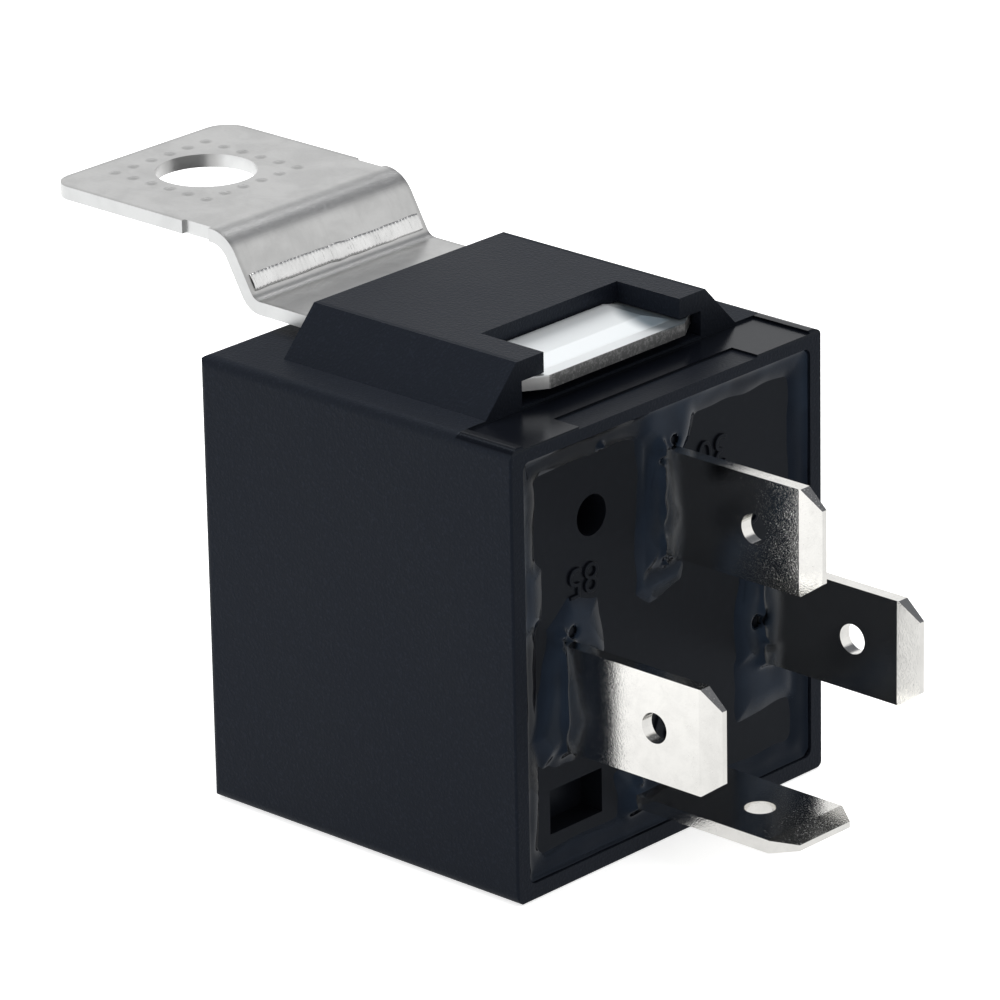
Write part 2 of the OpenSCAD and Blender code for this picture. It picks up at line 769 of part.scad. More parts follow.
// Wire end from the winding to its turns round a coil terminal
module coil_lead() {
    x = x_wrap + wrap_w / 2;
    difference() {
        translate([x, 0, z_coil_blades])
            rotate([90, 0, 0])
                cylinder(h = y_leg_face - wire_r, r = wire_r);
        bar_x(x - 1, x + 1, 0, z_coil, winding_r);
    }
    difference() {
        translate([x_wrap, -y_coil_blade, z_coil_blades])
            rotate([90, 0, 90])
                linear_extrude(wrap_w)
                    round_rect(blade_t + 4 * wire_r, leg_w + 4 * wire_r, wire_r);
        translate([0, -y_coil_blade, z_coil_blades])
            box(x_leg - 1, x_base_in, -blade_t / 2, blade_t / 2, -leg_w / 2, leg_w / 2);
    }
}

module coil_lead_85() color("#b5652f")
    coil_lead();

module coil_lead_86() color("#b5652f")
    mirror([0, 1, 0])
        coil_lead();

module core() color("#8f9499") {
    bar_x(x_pole, x_flange_back, 0, z_coil, pole_r);
    bar_x(x_flange_back - eps, x_foot_in, 0, z_coil, core_r);
    bar_x(x_foot_in - eps, x_foot_out, 0, z_coil, neck_r);
    bar_x(x_foot_out, x_base_in, 0, z_coil, neck_r + 0.4);
}

// Holes for the two rivets through yoke, spring and terminal foot
module rivet_holes_yoke() {
    for (s = [-1, 1])
        translate([x_yoke_rivet, s * rivet_y, z_yoke - 1])
            cylinder(h = yoke_t + spring_t + blade_t + 2, r = rivet_r);
}

// Holes for the two rivets through spring and armature
module rivet_holes_armature() {
    for (s = [-1, 1])
        bar_x(x_arm_back - 2, x_arm_front + 1, s * rivet_y, z_arm_rivet, rivet_r);
}

module yoke() color("#9aa0a5")
    difference() {
        union() {
            box(x_yoke_end, x_foot_out, -yoke_w / 2, yoke_w / 2, z_yoke, z_yoke_back);
            box(x_foot_in, x_foot_out, -yoke_w / 2, yoke_w / 2, z_foot_low, z_yoke + eps);
        }
        bar_x(x_foot_in - 1, x_foot_out + 1, 0, z_coil, neck_r);
        rivet_holes_yoke();
    }

module armature() color("#9aa0a5")
    difference() {
        along_x(x_arm_back, x_arm_front)
            polygon([
                [-yoke_w / 2, z_arm_top],
                [yoke_w / 2, z_arm_top],
                [yoke_w / 2, z_arm_low + 3],
                [yoke_w / 2 - 2, z_arm_low],
                [-yoke_w / 2 + 2, z_arm_low],
                [-yoke_w / 2, z_arm_low + 3]
            ]);
        along_y(yoke_w + 2)
            polygon([
                [x_arm_back - 1, z_arm_top - heel - 1],
                [x_arm_back + heel + 1, z_arm_top + 1],
                [x_arm_back - 1, z_arm_top + 1]
            ]);
        rivet_holes_armature();
    }

// Leaf spring: leg on the yoke, bend round the hinge, arm with the contact
module contact_spring() color("#c8914c") {
    end_r = contact_r + 0.55;
    difference() {
        union() {
            box(x_spring_bend, x_spring_end, -spring_w / 2, spring_w / 2,
                z_yoke_back, z_yoke_back + spring_t);
            sheet_bend(x_spring_bend, z_spring_bend, spring_r, spring_t, spring_w, 90, 90);
            along_x(x_spring_back, x_arm_back) {
                polygon([
                    [-spring_w / 2, z_spring_bend],
                    [spring_w / 2, z_spring_bend],
                    [spring_w / 2, z_arm_rivet - 2],
                    [end_r, z_arm_low],
                    [end_r, z_contact],
                    [-end_r, z_contact],
                    [-end_r, z_arm_low],
                    [-spring_w / 2, z_arm_rivet - 2]
                ]);
                translate([0, z_contact])
                    circle(end_r);
            }
        }
        rivet_holes_yoke();
        rivet_holes_armature();
        bar_x(x_spring_back - 1, x_arm_back + 1, 0, z_contact, rivet_r);
        box(x_spring_back - 1, x_spring_bend + 1.4, -spring_window_w / 2, spring_window_w / 2,
            z_spring_bend - 2, z_yoke_back + 1);
    }
}

module moving_contact() color("#dcdcd8") {
    bar_x(x_arm_back, x_arm_back + moving_h, 0, z_contact, contact_r);
    bar_x(x_spring_back - eps, x_arm_back + eps, 0, z_contact, rivet_r);
    bar_x(x_spring_back - tail_h, x_spring_back, 0, z_contact, contact_r - 0.25);
}

module fixed_contact() color("#dcdcd8") {
    bar_x(x_fixed_face, x_foot_back, 0, z_contact, contact_r);
    bar_x(x_foot_back - eps, x_foot_back + blade_t + eps, 0, z_contact, rivet_r);
    bar_x(x_foot_back + blade_t, x_foot_back + blade_t + 0.35, 0, z_contact, contact_r - 0.25);
}

// Rivet through the yoke, the spring's leg and the foot of terminal 30
module yoke_rivet() {
    top = z_yoke_back + spring_t + blade_t;
    translate([x_yoke_rivet, 0, z_yoke])
        cylinder(h = top - z_yoke, r = rivet_r);
    translate([x_yoke_rivet, 0, top])
        cylinder(h = rivet_head_h, r = rivet_head_r);
}

module yoke_rivet_1() color("#a9adb0")
    translate([0, -rivet_y, 0])
        yoke_rivet();

module yoke_rivet_2() color("#a9adb0")
    translate([0, rivet_y, 0])
        yoke_rivet();

// Rivet through the spring and the armature
module armature_rivet() {
    bar_x(x_spring_back - rivet_head_h, x_spring_back, 0, z_arm_rivet, rivet_head_r);
    bar_x(x_spring_back - eps, x_arm_front, 0, z_arm_rivet, rivet_r);
}

module armature_rivet_1() color("#a9adb0")
    translate([0, -rivet_y, 0])
        armature_rivet();

module armature_rivet_2() color("#a9adb0")
    translate([0, rivet_y, 0])
        armature_rivet();

module resistor_body() color("#3f6fa8")
    translate([x_resistor, 0, z_resistor])
        rotate([90, 0, 0]) {
            cylinder(h = resistor_l - 1, r = resistor_r - 0.12, center = true);
            for (s = [-1, 1])
                translate([0, 0, s * (resistor_l - cap_l) / 2])
                    cylinder(h = cap_l, r = resistor_r, center = true);
        }

// Resistor lead from the body to the inner face of a coil terminal
module resistor_lead() {
    y_up = y_leg_face - lead_r;
    translate([x_resistor, -resistor_l / 2, z_resistor])
        rotate([90, 0, 0])
            cylinder(h = y_up - lead_bend_r - resistor_l / 2, r = lead_r);
    translate([x_resistor, -y_up + lead_bend_r, z_resistor + lead_bend_r])
        rotate([90, 0, 90])
            rotate([0, 0, 180])
                rotate_extrude(angle = 90)
                    translate([lead_bend_r, 0])
                        circle(lead_r);
    translate([x_resistor, -y_up, z_resistor + lead_bend_r])
        cylinder(h = z_coil_blades - z_resistor - lead_bend_r, r = lead_r);
}

module resistor_lead_85() color("#c9cbcd")
    resistor_lead();

module resistor_lead_86() color("#c9cbcd")
    mirror([0, 1, 0])
        resistor_lead();

cover();
base_plate();
sealing_resin();
mounting_bracket();
terminal_30();
terminal_87();
terminal_85();
terminal_86();
rest_stop();
bobbin();
coil_winding();
coil_lead_85();
coil_lead_86();
core();
yoke();
armature();
contact_spring();
moving_contact();
fixed_contact();
yoke_rivet_1();
yoke_rivet_2();
armature_rivet_1();
armature_rivet_2();
resistor_body();
resistor_lead_85();
resistor_lead_86();
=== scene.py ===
import math

import bpy
import numpy as np
from bpy.props import (FloatProperty, FloatVectorProperty, IntProperty,
                       PointerProperty)
from mathutils import Matrix, Vector


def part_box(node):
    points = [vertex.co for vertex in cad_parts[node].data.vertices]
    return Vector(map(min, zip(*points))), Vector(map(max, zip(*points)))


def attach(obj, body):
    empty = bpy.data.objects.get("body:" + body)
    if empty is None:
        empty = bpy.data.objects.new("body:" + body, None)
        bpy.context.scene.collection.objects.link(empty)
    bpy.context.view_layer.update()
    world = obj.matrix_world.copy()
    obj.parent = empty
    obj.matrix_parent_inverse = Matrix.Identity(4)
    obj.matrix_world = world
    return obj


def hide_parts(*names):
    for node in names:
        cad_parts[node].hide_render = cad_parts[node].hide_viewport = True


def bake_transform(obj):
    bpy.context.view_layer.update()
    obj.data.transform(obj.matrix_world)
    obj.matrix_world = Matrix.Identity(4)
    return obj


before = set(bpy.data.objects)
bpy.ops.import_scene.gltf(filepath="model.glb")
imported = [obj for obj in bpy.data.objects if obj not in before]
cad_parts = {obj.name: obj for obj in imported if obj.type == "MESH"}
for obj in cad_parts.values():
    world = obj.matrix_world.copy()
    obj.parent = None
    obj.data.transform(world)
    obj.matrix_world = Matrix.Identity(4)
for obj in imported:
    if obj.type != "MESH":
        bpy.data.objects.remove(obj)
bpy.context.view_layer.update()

bl_info = {
    "name": "Automotive relay finishes",
    "version": (1, 0, 0),
    "blender": (4, 5, 0),
    "location": "View3D > Sidebar > Relay",
    "description": "Casting resin, raised numbers and finishes for a four-blade relay",
    "category": "Object",
}

MM = 0.001


def span(node):
    """Lowest and highest corner of a CAD node at rest, in millimetres."""
    low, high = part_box(node)
    return np.array(low) / MM, np.array(high) / MM


COVER_HIGH = span("cover")[1]
BASE_HIGH = span("base_plate")[1]
BRACKET_LOW, BRACKET_HIGH = span("mounting_bracket")
WINDING_LOW, WINDING_HIGH = span("coil_winding")
SPRING_LOW, SPRING_HIGH = span("contact_spring")
BLADES = ("terminal_30", "terminal_85", "terminal_86", "terminal_87")
COVER_TALL = 27.0        # height of the cover without its bracket holder, in millimetres
BLADE_WIDE = 6.3         # a blade's width, in millimetres
BLADE_THICK = 0.8
COIL_BLADES_APART = 16.8
STRIP_TOP = 28.45        # height of the bracket's lower leg, in millimetres
BLUISH = (0.62, 0.78, 1.0)         # tint of the shine on the black plastics


# ---------------------------------------------------------------- settings

def length(name, about, default, low, high):
    """A size in metres, shown with its unit."""
    return FloatProperty(name=name, description=about, default=default, min=low,
                         max=high, subtype="DISTANCE", unit="LENGTH", precision=5)


def tint(name, about, default):
    """A surface colour."""
    return FloatVectorProperty(name=name, description=about, default=default,
                               size=3, min=0.0, max=1.0, subtype="COLOR")


class RelayPlasticSettings(bpy.types.PropertyGroup):
    cover_colour: tint("Cover colour", "Colour of the moulded cover",
                       (0.0048, 0.0058, 0.0090))
    cover_grain: length("Cover grain", "Size of the texture on the cover",
                        0.00017, 0.00005, 0.002)
    base_colour: tint("Base colour", "Colour of the base plate and its numbers",
                      (0.0042, 0.0048, 0.0068))
    nylon_colour: tint("Bobbin colour", "Colour of the natural nylon bobbin",
                       (0.80, 0.77, 0.68))


class RelayResinSettings(bpy.types.PropertyGroup):
    colour: tint("Resin colour", "Colour of the casting resin",
                 (0.0022, 0.0025, 0.0042))
    # painted sheen: a paler bluish colour put on the pools in place of their reflection
    sheen: tint("Pool colour", "Colour of the resin where it lies in pools",
                (0.010, 0.0145, 0.023))
    step: length("Grid step", "Distance between points of the resin surface",
                 0.00012, 0.00006, 0.0005)
    fill: length("Fill", "Height of the resin above the raised face in the channel",
                 0.00016, 0.00005, 0.0004)
    climb: length("Climb", "How high the resin climbs a blade", 0.00075, 0.0001, 0.0015)
    spread: length("Spread", "How far the climb reaches from a blade",
                   0.00055, 0.0001, 0.0015)
    wall: length("Wall", "Thickness of the skin of resin", 0.00015, 0.00005, 0.0005)


class RelayNumberSettings(bpy.types.PropertyGroup):
    height: length("Number height", "Height of the raised numbers", 0.00185, 0.001, 0.004)
    relief: length("Relief", "How far the numbers stand proud", 0.00011, 0.00003, 0.0003)


class RelayMetalSettings(bpy.types.PropertyGroup):
    zinc_colour: tint("Zinc colour", "Colour of the plated bracket", (0.56, 0.56, 0.555))
    tin_colour: tint("Tin colour", "Colour of the plated blades", (0.83, 0.82, 0.79))
    iron_colour: tint("Iron colour", "Colour of the yoke, core and armature",
                      (0.50, 0.51, 0.52))
    bronze_colour: tint("Bronze colour", "Colour of the contact spring",
                        (0.72, 0.47, 0.28))
    brass_colour: tint("Brass colour", "Colour of bare brass", (0.72, 0.56, 0.28))
    silver_colour: tint("Silver colour", "Colour of the contacts", (0.82, 0.81, 0.78))
    steel_colour: tint("Rivet colour", "Colour of the rivets", (0.60, 0.61, 0.62))
    ribs: IntProperty(name="Coined ribs", description="Ribs pressed across the lower bend",
                      default=46, min=8, max=80)
    rib_height: length("Rib height", "Height of the pressed ribs", 0.00006, 0.00002, 0.0002)


class RelayCoilSettings(bpy.types.PropertyGroup):
    wire_colour: tint("Wire colour", "Colour of the enamelled wire", (0.62, 0.27, 0.12))
    turns: IntProperty(name="Turns", description="Turns of wire in the outer layer",
                       default=44, min=10, max=120)
    resistor_colour: tint("Resistor colour", "Colour of the resistor's enamel",
                          (0.18, 0.33, 0.52))


class RelayStageSettings(bpy.types.PropertyGroup):
    floor_size: length("Floor size", "Side of the square floor", 3.0, 0.5, 10.0)
    floor_colour: tint("Floor colour", "Colour of the floor", (0.86, 0.86, 0.86))
    ambient: FloatProperty(name="Ambient", description="Strength of the even studio light",
                           default=0.68, min=0.0, max=2.0)
    key: FloatProperty(name="Key lamp", description="Power of the large lamp overhead",
                       default=2.4, min=0.0, max=50.0, subtype="POWER", unit="POWER")
    fill: FloatProperty(name="Fill lamp", description="Power of the lamp at the -Y side",
                        default=0.8, min=0.0, max=50.0, subtype="POWER", unit="POWER")
    azimuth: FloatProperty(name="Azimuth", description="Camera's turn about the upright",
                           default=math.radians(43.013), subtype="ANGLE", unit="ROTATION")
    elevation: FloatProperty(name="Elevation", description="Camera's height angle",
                             default=math.radians(21.129), subtype="ANGLE", unit="ROTATION")
    roll: FloatProperty(name="Roll", description="Camera's turn about its own axis",
                        default=math.radians(-1.089), subtype="ANGLE", unit="ROTATION")
    distance: length("Distance", "From the camera to its target", 0.386283, 0.1, 2.0)
    target: FloatVectorProperty(name="Target", description="Point the camera looks at",
                                default=(0.013615, -0.01572, 0.025439), size=3,
                                subtype="TRANSLATION", unit="LENGTH")
    lens: FloatProperty(name="Lens", description="Focal length on a 36 mm sensor",
                        default=259.18, min=20.0, max=500.0, unit="CAMERA")


SETTINGS = {
    "relay_plastic": RelayPlasticSettings,
    "relay_resin": RelayResinSettings,
    "relay_numbers": RelayNumberSettings,
    "relay_metal": RelayMetalSettings,
    "relay_coil": RelayCoilSettings,
    "relay_stage": RelayStageSettings,
}


# ---------------------------------------------------------------- node helpers

def put(tree, kind, inputs=None, **settings):
    """Add a node, set its fields, and link or fill its inputs."""
    made = tree.nodes.new(kind)
    for field, value in settings.items():
        setattr(made, field, value)
    for socket, value in (inputs or {}).items():
        if isinstance(value, bpy.types.NodeSocket):
            tree.links.new(value, made.inputs[socket])
        else:
            made.inputs[socket].default_value = value
    return made


def sums(tree, operation, a, b=0.0, c=0.0):
    """One math node; returns its output."""
    made = put(tree, "ShaderNodeMath", {0: a, 1: b, 2: c}, operation=operation)
    return made.outputs[0]


def times(tree, a, b):
    """Product of two values."""
    return sums(tree, "MULTIPLY", a, b)


def added(tree, a, factor, b):
    """One value times a factor, added to another."""
    return sums(tree, "MULTIPLY_ADD", a, factor, b)


def most(tree, a, b):
    """The larger of two values."""
    return sums(tree, "MAXIMUM", a, b)


def without(tree, a):
    """What a value leaves of one."""
    return sums(tree, "SUBTRACT", 1.0, a)


def split(tree, vector):
    """The X, Y and Z of a vector."""
    return put(tree, "ShaderNodeSeparateXYZ", {"Vector": vector}).outputs


def smooth(tree, value, low, high, to_low=0.0, to_high=1.0):
    """Smooth step of a value between two limits."""
    return put(tree, "ShaderNodeMapRange",
               {"Value": value, "From Min": low, "From Max": high,
                "To Min": to_low, "To Max": to_high},
               interpolation_type="SMOOTHSTEP", clamp=True).outputs[0]


def above(tree, value, place, blur):
    """Nought below a place and one above it, with a short blur to either side."""
    return smooth(tree, value, place - blur, place + blur)


def below(tree, value, place, blur):
    """One below a place and nought above it."""
    return smooth(tree, value, place - blur, place + blur, 1.0, 0.0)


def found(tree, kind):
    """The tree's first node of a kind."""
    return next(node for node in tree.nodes if node.type == kind)


def blended(tree, factor, a, b):
    """Mix of two colours, on sockets 0, 6 and 7 of the node."""
    made = put(tree, "ShaderNodeMix", data_type="RGBA")
    for index, value in ((0, factor), (6, a), (7, b)):
        if isinstance(value, bpy.types.NodeSocket):
            tree.links.new(value, made.inputs[index])
        elif index == 0:
            made.inputs[index].default_value = value
        else:
            made.inputs[index].default_value = rgba(value)
    return made.outputs[2]


def group(name, inputs, outputs):
    """Empty shader node group with named sockets."""
    tree = bpy.data.node_groups.new(name, "ShaderNodeTree")
    for socket, kind, default in inputs:
        made = tree.interface.new_socket(socket, in_out="INPUT", socket_type=kind)
        made.default_value = default
    for socket, kind in outputs:
        tree.interface.new_socket(socket, in_out="OUTPUT", socket_type=kind)
    return tree, tree.nodes.new("NodeGroupInput").outputs, tree.nodes.new("NodeGroupOutput")


FLOAT, COLOUR, VECTOR = "NodeSocketFloat", "NodeSocketColor", "NodeSocketVector"


def moulded_grain():
    """Spark-eroded mould texture: fine noise for the height, broad noise for the tone."""
    tree, given, out = group(
        "moulded_grain",
        [("Vector", VECTOR, (0, 0, 0)), ("Colour", COLOUR, (0.01, 0.01, 0.01, 1)),
         ("Grain Scale", FLOAT, 4500.0), ("Tone", FLOAT, 0.3),
         ("Roughness", FLOAT, 0.5), ("Roughness Spread", FLOAT, 0.08)],
        [("Colour", COLOUR), ("Roughness", FLOAT), ("Height", FLOAT)])
    fine = put(tree, "ShaderNodeTexNoise",
               {"Vector": given["Vector"], "Scale": given["Grain Scale"],
                "Detail": 2.0, "Roughness": 0.6}).outputs["Fac"]
    broad = put(tree, "ShaderNodeTexNoise",
                {"Vector": given["Vector"], "Scale": 130.0, "Detail": 3.0}).outputs["Fac"]
    light = put(tree, "ShaderNodeHueSaturation",
                {"Color": given["Colour"], "Value": 2.2}).outputs["Color"]
    speck = smooth(tree, fine, 0.52, 0.75)
    amount = times(tree, given["Tone"], added(tree, speck, 0.75, times(tree, broad, 0.35)))
    tree.links.new(blended(tree, amount, given["Colour"], light), out.inputs["Colour"])
    swing = sums(tree, "SUBTRACT", broad, 0.5)
    tree.links.new(added(tree, swing, given["Roughness Spread"], given["Roughness"]),
                   out.inputs["Roughness"])
    tree.links.new(fine, out.inputs["Height"])
    return tree


def plated_mottle():
    """Plated sheet: cloudy patches, a fine frosted speckle and stray scratches."""
    tree, given, out = group(
        "plated_mottle",
        [("Vector", VECTOR, (0, 0, 0)), ("Colour", COLOUR, (0.6, 0.6, 0.6, 1)),
         ("Dark", COLOUR, (0.4, 0.4, 0.4, 1)), ("Cloud Scale", FLOAT, 500.0),
         ("Speckle Scale", FLOAT, 6000.0), ("Cloud", FLOAT, 0.4),
         ("Roughness", FLOAT, 0.25), ("Roughness Spread", FLOAT, 0.2)],
        [("Colour", COLOUR), ("Roughness", FLOAT), ("Height", FLOAT), ("Speckle", FLOAT)])
    cloud = put(tree, "ShaderNodeTexNoise",
                {"Vector": given["Vector"], "Scale": given["Cloud Scale"],
                 "Detail": 4.0, "Roughness": 0.62, "Distortion": 0.4}).outputs["Fac"]
    speckle = put(tree, "ShaderNodeTexNoise",
                  {"Vector": given["Vector"], "Scale": given["Speckle Scale"],
                   "Detail": 2.0, "Roughness": 0.7}).outputs["Fac"]
    drawn = put(tree, "ShaderNodeMapping", {"Vector": given["Vector"],
                                            "Rotation": (0.0, 0.0, 0.5),
                                            "Scale": (1.0, 18.0, 1.0)}).outputs[0]
    scratch = put(tree, "ShaderNodeTexNoise",
                  {"Vector": drawn, "Scale": 260.0, "Detail": 3.0}).outputs["Fac"]
    lines = smooth(tree, scratch, 0.60, 0.66)
    patch = smooth(tree, cloud, 0.36, 0.66)
    worn = added(tree, lines, 0.12, times(tree, patch, given["Cloud"]))
    tree.links.new(blended(tree, worn, given["Colour"], given["Dark"]), out.inputs["Colour"])
    grain = smooth(tree, speckle, 0.45, 0.68)
    swing = sums(tree, "SUBTRACT", added(tree, grain, 0.6, cloud), 0.6)
    tree.links.new(added(tree, swing, given["Roughness Spread"], given["Roughness"]),
                   out.inputs["Roughness"])
    tree.links.new(added(tree, cloud, 0.5, speckle), out.inputs["Height"])
    tree.links.new(grain, out.inputs["Speckle"])
    return tree


GROUPS = {}


def placed(tree, build, inputs):
    """Place a shared node group, building it the first time."""
    if build not in GROUPS:
        GROUPS[build] = build()
    return put(tree, "ShaderNodeGroup", inputs, node_tree=GROUPS[build]).outputs


def blank(name):
    """New material; returns it with its tree, shader and Object coordinates."""
    made = bpy.data.materials.new(name)
    made.use_nodes = True
    tree = made.node_tree
    tree.nodes.clear()
    shader = put(tree, "ShaderNodeBsdfPrincipled")
    out = tree.nodes.new("ShaderNodeOutputMaterial")
    tree.links.new(shader.outputs[0], out.inputs["Surface"])
    place = tree.nodes.new("ShaderNodeTexCoord").outputs["Object"]
    return made, tree, shader, place


def feed(tree, shader, colour=None, roughness=None, height=None, lift=0.00002, bump=0.5,
         **constants):
    """Link colour, roughness and bump to a shader; constants go on its own sockets."""
    if colour is not None:
        tree.links.new(colour, shader.inputs["Base Color"])
    if roughness is not None:
        tree.links.new(roughness, shader.inputs["Roughness"])
    if height is not None:
        made = put(tree, "ShaderNodeBump",
                   {"Height": height, "Distance": lift, "Strength": bump})
        tree.links.new(made.outputs[0], shader.inputs["Normal"])
    for socket, value in constants.items():
        shader.inputs[socket.replace("_", " ")].default_value = value


def rgba(colour):
    """A colour with its fourth number, for a socket."""
    return (*colour[:3], 1.0)


def shade(colour, factor):
    """A colour made darker or paler."""
    return tuple(part * factor for part in colour)


def dress(node, material):
    """Give a CAD node a finish by its material slots."""
    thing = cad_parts[node]
    if not thing.material_slots:
        thing.data.materials.append(material)
    for slot in thing.material_slots:
        slot.material = material


# ---------------------------------------------------------------- finishes

def plastic(name, colour, grain, roughness, specular, lift, tone, bump=0.3,
            sheen=(1.0, 1.0, 1.0)):
    """Moulded plastic with its own grain size in metres."""
    made, tree, shader, place = blank(name)
    look = placed(tree, moulded_grain,
                  {"Vector": place, "Colour": rgba(colour), "Grain Scale": 1.0 / grain,
                   "Tone": tone, "Roughness": roughness, "Roughness Spread": 0.1})
    feed(tree, shader, look["Colour"], look["Roughness"], look["Height"], lift, bump,
         Specular_IOR_Level=specular, Specular_Tint=rgba(sheen))
    return made, tree, shader, place, look


def cover_finish(given):
    """Textured black cover, smooth on the panel in front of the holder and inside it, with
    painted shade darkening the panel.
    """
    made, tree, shader, place, look = plastic(
        "cover_texture", given.cover_colour, given.cover_grain, roughness=0.62,
        specular=0.145, lift=0.00004, tone=1.0, bump=0.9, sheen=BLUISH)
    axes = split(tree, place)
    holder_x = (COVER_HIGH[0] - 4.2) * MM       # the holder ends here, before the open rim
    panel_z, floor_z = 0.0267, COVER_TALL * MM  # the panel and the holder's inside lie above
    wall_y = 0.00755                            # half the width inside the holder
    panel = times(tree, above(tree, axes["X"], holder_x, 0.00005),
                  above(tree, axes["Z"], panel_z, 0.0001))
    inside = times(tree, above(tree, axes["Z"], floor_z, 0.0001),
                   below(tree, sums(tree, "ABSOLUTE", axes["Y"]), wall_y, 0.00005))
    smooth_part = most(tree, panel, times(tree, inside, 0.3))
    tree.links.new(added(tree, smooth_part, -0.38, look["Roughness"]),
                   shader.inputs["Roughness"])
    # painted shade: the panel's colour is darkened toward a third of the cover's
    tree.links.new(blended(tree, times(tree, panel, 0.6), look["Colour"],
                           shade(given.cover_colour, 0.35)), shader.inputs["Base Color"])
    tree.links.new(times(tree, look["Height"], without(tree, times(tree, panel, 0.9))),
                   found(tree, "BUMP").inputs["Height"])
    return made


def metal(name, colour, worn, roughness, spread, cloud=0.4, cloud_scale=500.0,
          speckle_scale=6000.0, lift=0.000006, bump=0.3):
    """Plated or rolled metal, whose worn parts have the colour times a factor."""
    made, tree, shader, place = blank(name)
    look = placed(tree, plated_mottle,
                  {"Vector": place, "Colour": rgba(colour), "Dark": rgba(shade(colour, worn)),
                   "Cloud Scale": cloud_scale, "Speckle Scale": speckle_scale,
                   "Cloud": cloud, "Roughness": roughness, "Roughness Spread": spread})
    feed(tree, shader, look["Colour"], look["Roughness"], look["Height"], lift, bump,
         Metallic=1.0)
    return made, tree, shader, place, look


def zinc_finish(colour):
    """Dull zinc plate, with a square of pressed dimples and a smooth latch pad; painted shade
    darkens the dimples, the tab's edges and the front face, and a painted highlight whitens the
    cut sides and the pad, whose bowed end carries a painted dark reflection.
    """
    made, tree, shader, place, look = metal(
        "zinc_plate", colour, 0.80, 0.31, 0.09, cloud=0.6, cloud_scale=420.0,
        speckle_scale=5200.0, bump=0.06)
    axes = split(tree, place)
    aside = sums(tree, "ABSOLUTE", axes["Y"])

    # Dimples: dots on a square grid about the screw hole, kept in one ring of the square
    pitch, hole_x = 0.0015, (BRACKET_LOW[0] + 5.6) * MM
    across = sums(tree, "DIVIDE", sums(tree, "SUBTRACT", axes["X"], hole_x), pitch)
    along = sums(tree, "DIVIDE", axes["Y"], pitch)
    u, v = (sums(tree, "SUBTRACT", sums(tree, "FRACT", cell), 0.5) for cell in (across, along))
    from_dot = sums(tree, "SQRT", sums(tree, "ADD", times(tree, u, u), times(tree, v, v)))
    reach = most(tree, sums(tree, "ABSOLUTE", across), sums(tree, "ABSOLUTE", along))
    ring = times(tree, above(tree, reach, 2.0, 0.05), below(tree, reach, 3.0, 0.05))
    dimple_and_shade = times(tree, below(tree, from_dot, 0.20, 0.12), ring)

    # Painted shade: darker dimples, a darker line along the tab's edges, and a darker sheared
    # front face, broken by speckle
    from_end = sums(tree, "SUBTRACT", axes["X"], BRACKET_LOW[0] * MM)
    to_side = sums(tree, "SUBTRACT", BRACKET_HIGH[1] * MM, aside)
    # painted shade: a darker line along the tab's end and sides
    edge = smooth(tree, sums(tree, "MINIMUM", from_end, to_side), 0.00004, 0.00038, 1.0, 0.0)
    front = above(tree, axes["X"], (BRACKET_HIGH[0] - 0.04) * MM, 0.00002)
    # painted shade on the front end face, broken by speckle
    front_shade = times(tree, front, added(tree, look["Speckle"], -0.5, 0.9))
    # painted shade: the dimples, the edge line and the front face, with the dimples also made
    # rougher below
    painted_shade = most(tree, times(tree, dimple_and_shade, 0.55),
                most(tree, times(tree, edge, 0.30), front_shade))
    # painted shade pulls the colour toward a third of the zinc's
    toned = blended(tree, painted_shade, look["Colour"], shade(colour, 0.35))

    # Painted highlight: the strip's cut sides and the latch pad are made pale, and a painted
    # dark reflection lies on the pad's bowed end
    facing = tree.nodes.new("ShaderNodeNewGeometry").outputs["Normal"]
    # painted highlight: faces that point along Y, the strip's cut sides, are picked by their
    # normals
    cut = smooth(tree, sums(tree, "ABSOLUTE", split(tree, facing)["Y"]), 0.8, 0.95)
    pad = times(tree, above(tree, axes["X"], 0.0028, 0.0006),
                above(tree, axes["Z"], (STRIP_TOP - 0.05) * MM, 0.0001))
    painted_highlight = most(tree, times(tree, cut, 0.22), times(tree, pad, without(tree, front)))
    # painted highlight: the pale parts move toward near white
    bright = blended(tree, painted_highlight, toned, (0.90, 0.93, 0.94))
    # painted dark reflection: a bowed dark patch at the pad's +Y end
    off = sums(tree, "SUBTRACT", axes["X"], 0.0065)
    bowed = sums(tree, "SUBTRACT", axes["Y"], times(tree, times(tree, off, off), 200.0))
    painted_dark_reflection = times(tree, pad, smooth(tree, bowed, 0.0026, 0.0040, 0.0, 0.9))
    tree.links.new(blended(tree, painted_dark_reflection, bright, (0.10, 0.14, 0.17)),
                   shader.inputs["Base Color"])

    rest = without(tree, times(tree, pad, 0.92))
    calm = added(tree, pad, 0.38, times(tree, look["Roughness"], rest))
    tree.links.new(added(tree, dimple_and_shade, 0.25, calm), shader.inputs["Roughness"])
    tree.links.new(times(tree, look["Height"], rest), found(tree, "BUMP").inputs["Height"])
    return made


def tin_finish(colour):
    """Bright tin plate, frosted with flecks towards the tips of all blades but 86."""
    made, tree, shader, place, look = metal(
        "tin_plate", colour, 0.80, 0.10, 0.12, cloud=0.30, cloud_scale=900.0,
        speckle_scale=9500.0, lift=0.000010, bump=0.6)
    axes = split(tree, place)
    tip = smooth(tree, axes["X"], 0.0145, 0.0215)
    worn = most(tree, sums(tree, "SUBTRACT", tip, above(tree, axes["Y"], 0.0035, 0.001)), 0.0)
    fleck = times(tree, smooth(tree, look["Speckle"], 0.86, 1.0), worn)
    tree.links.new(added(tree, fleck, 0.12, look["Roughness"]), shader.inputs["Roughness"])
    return made


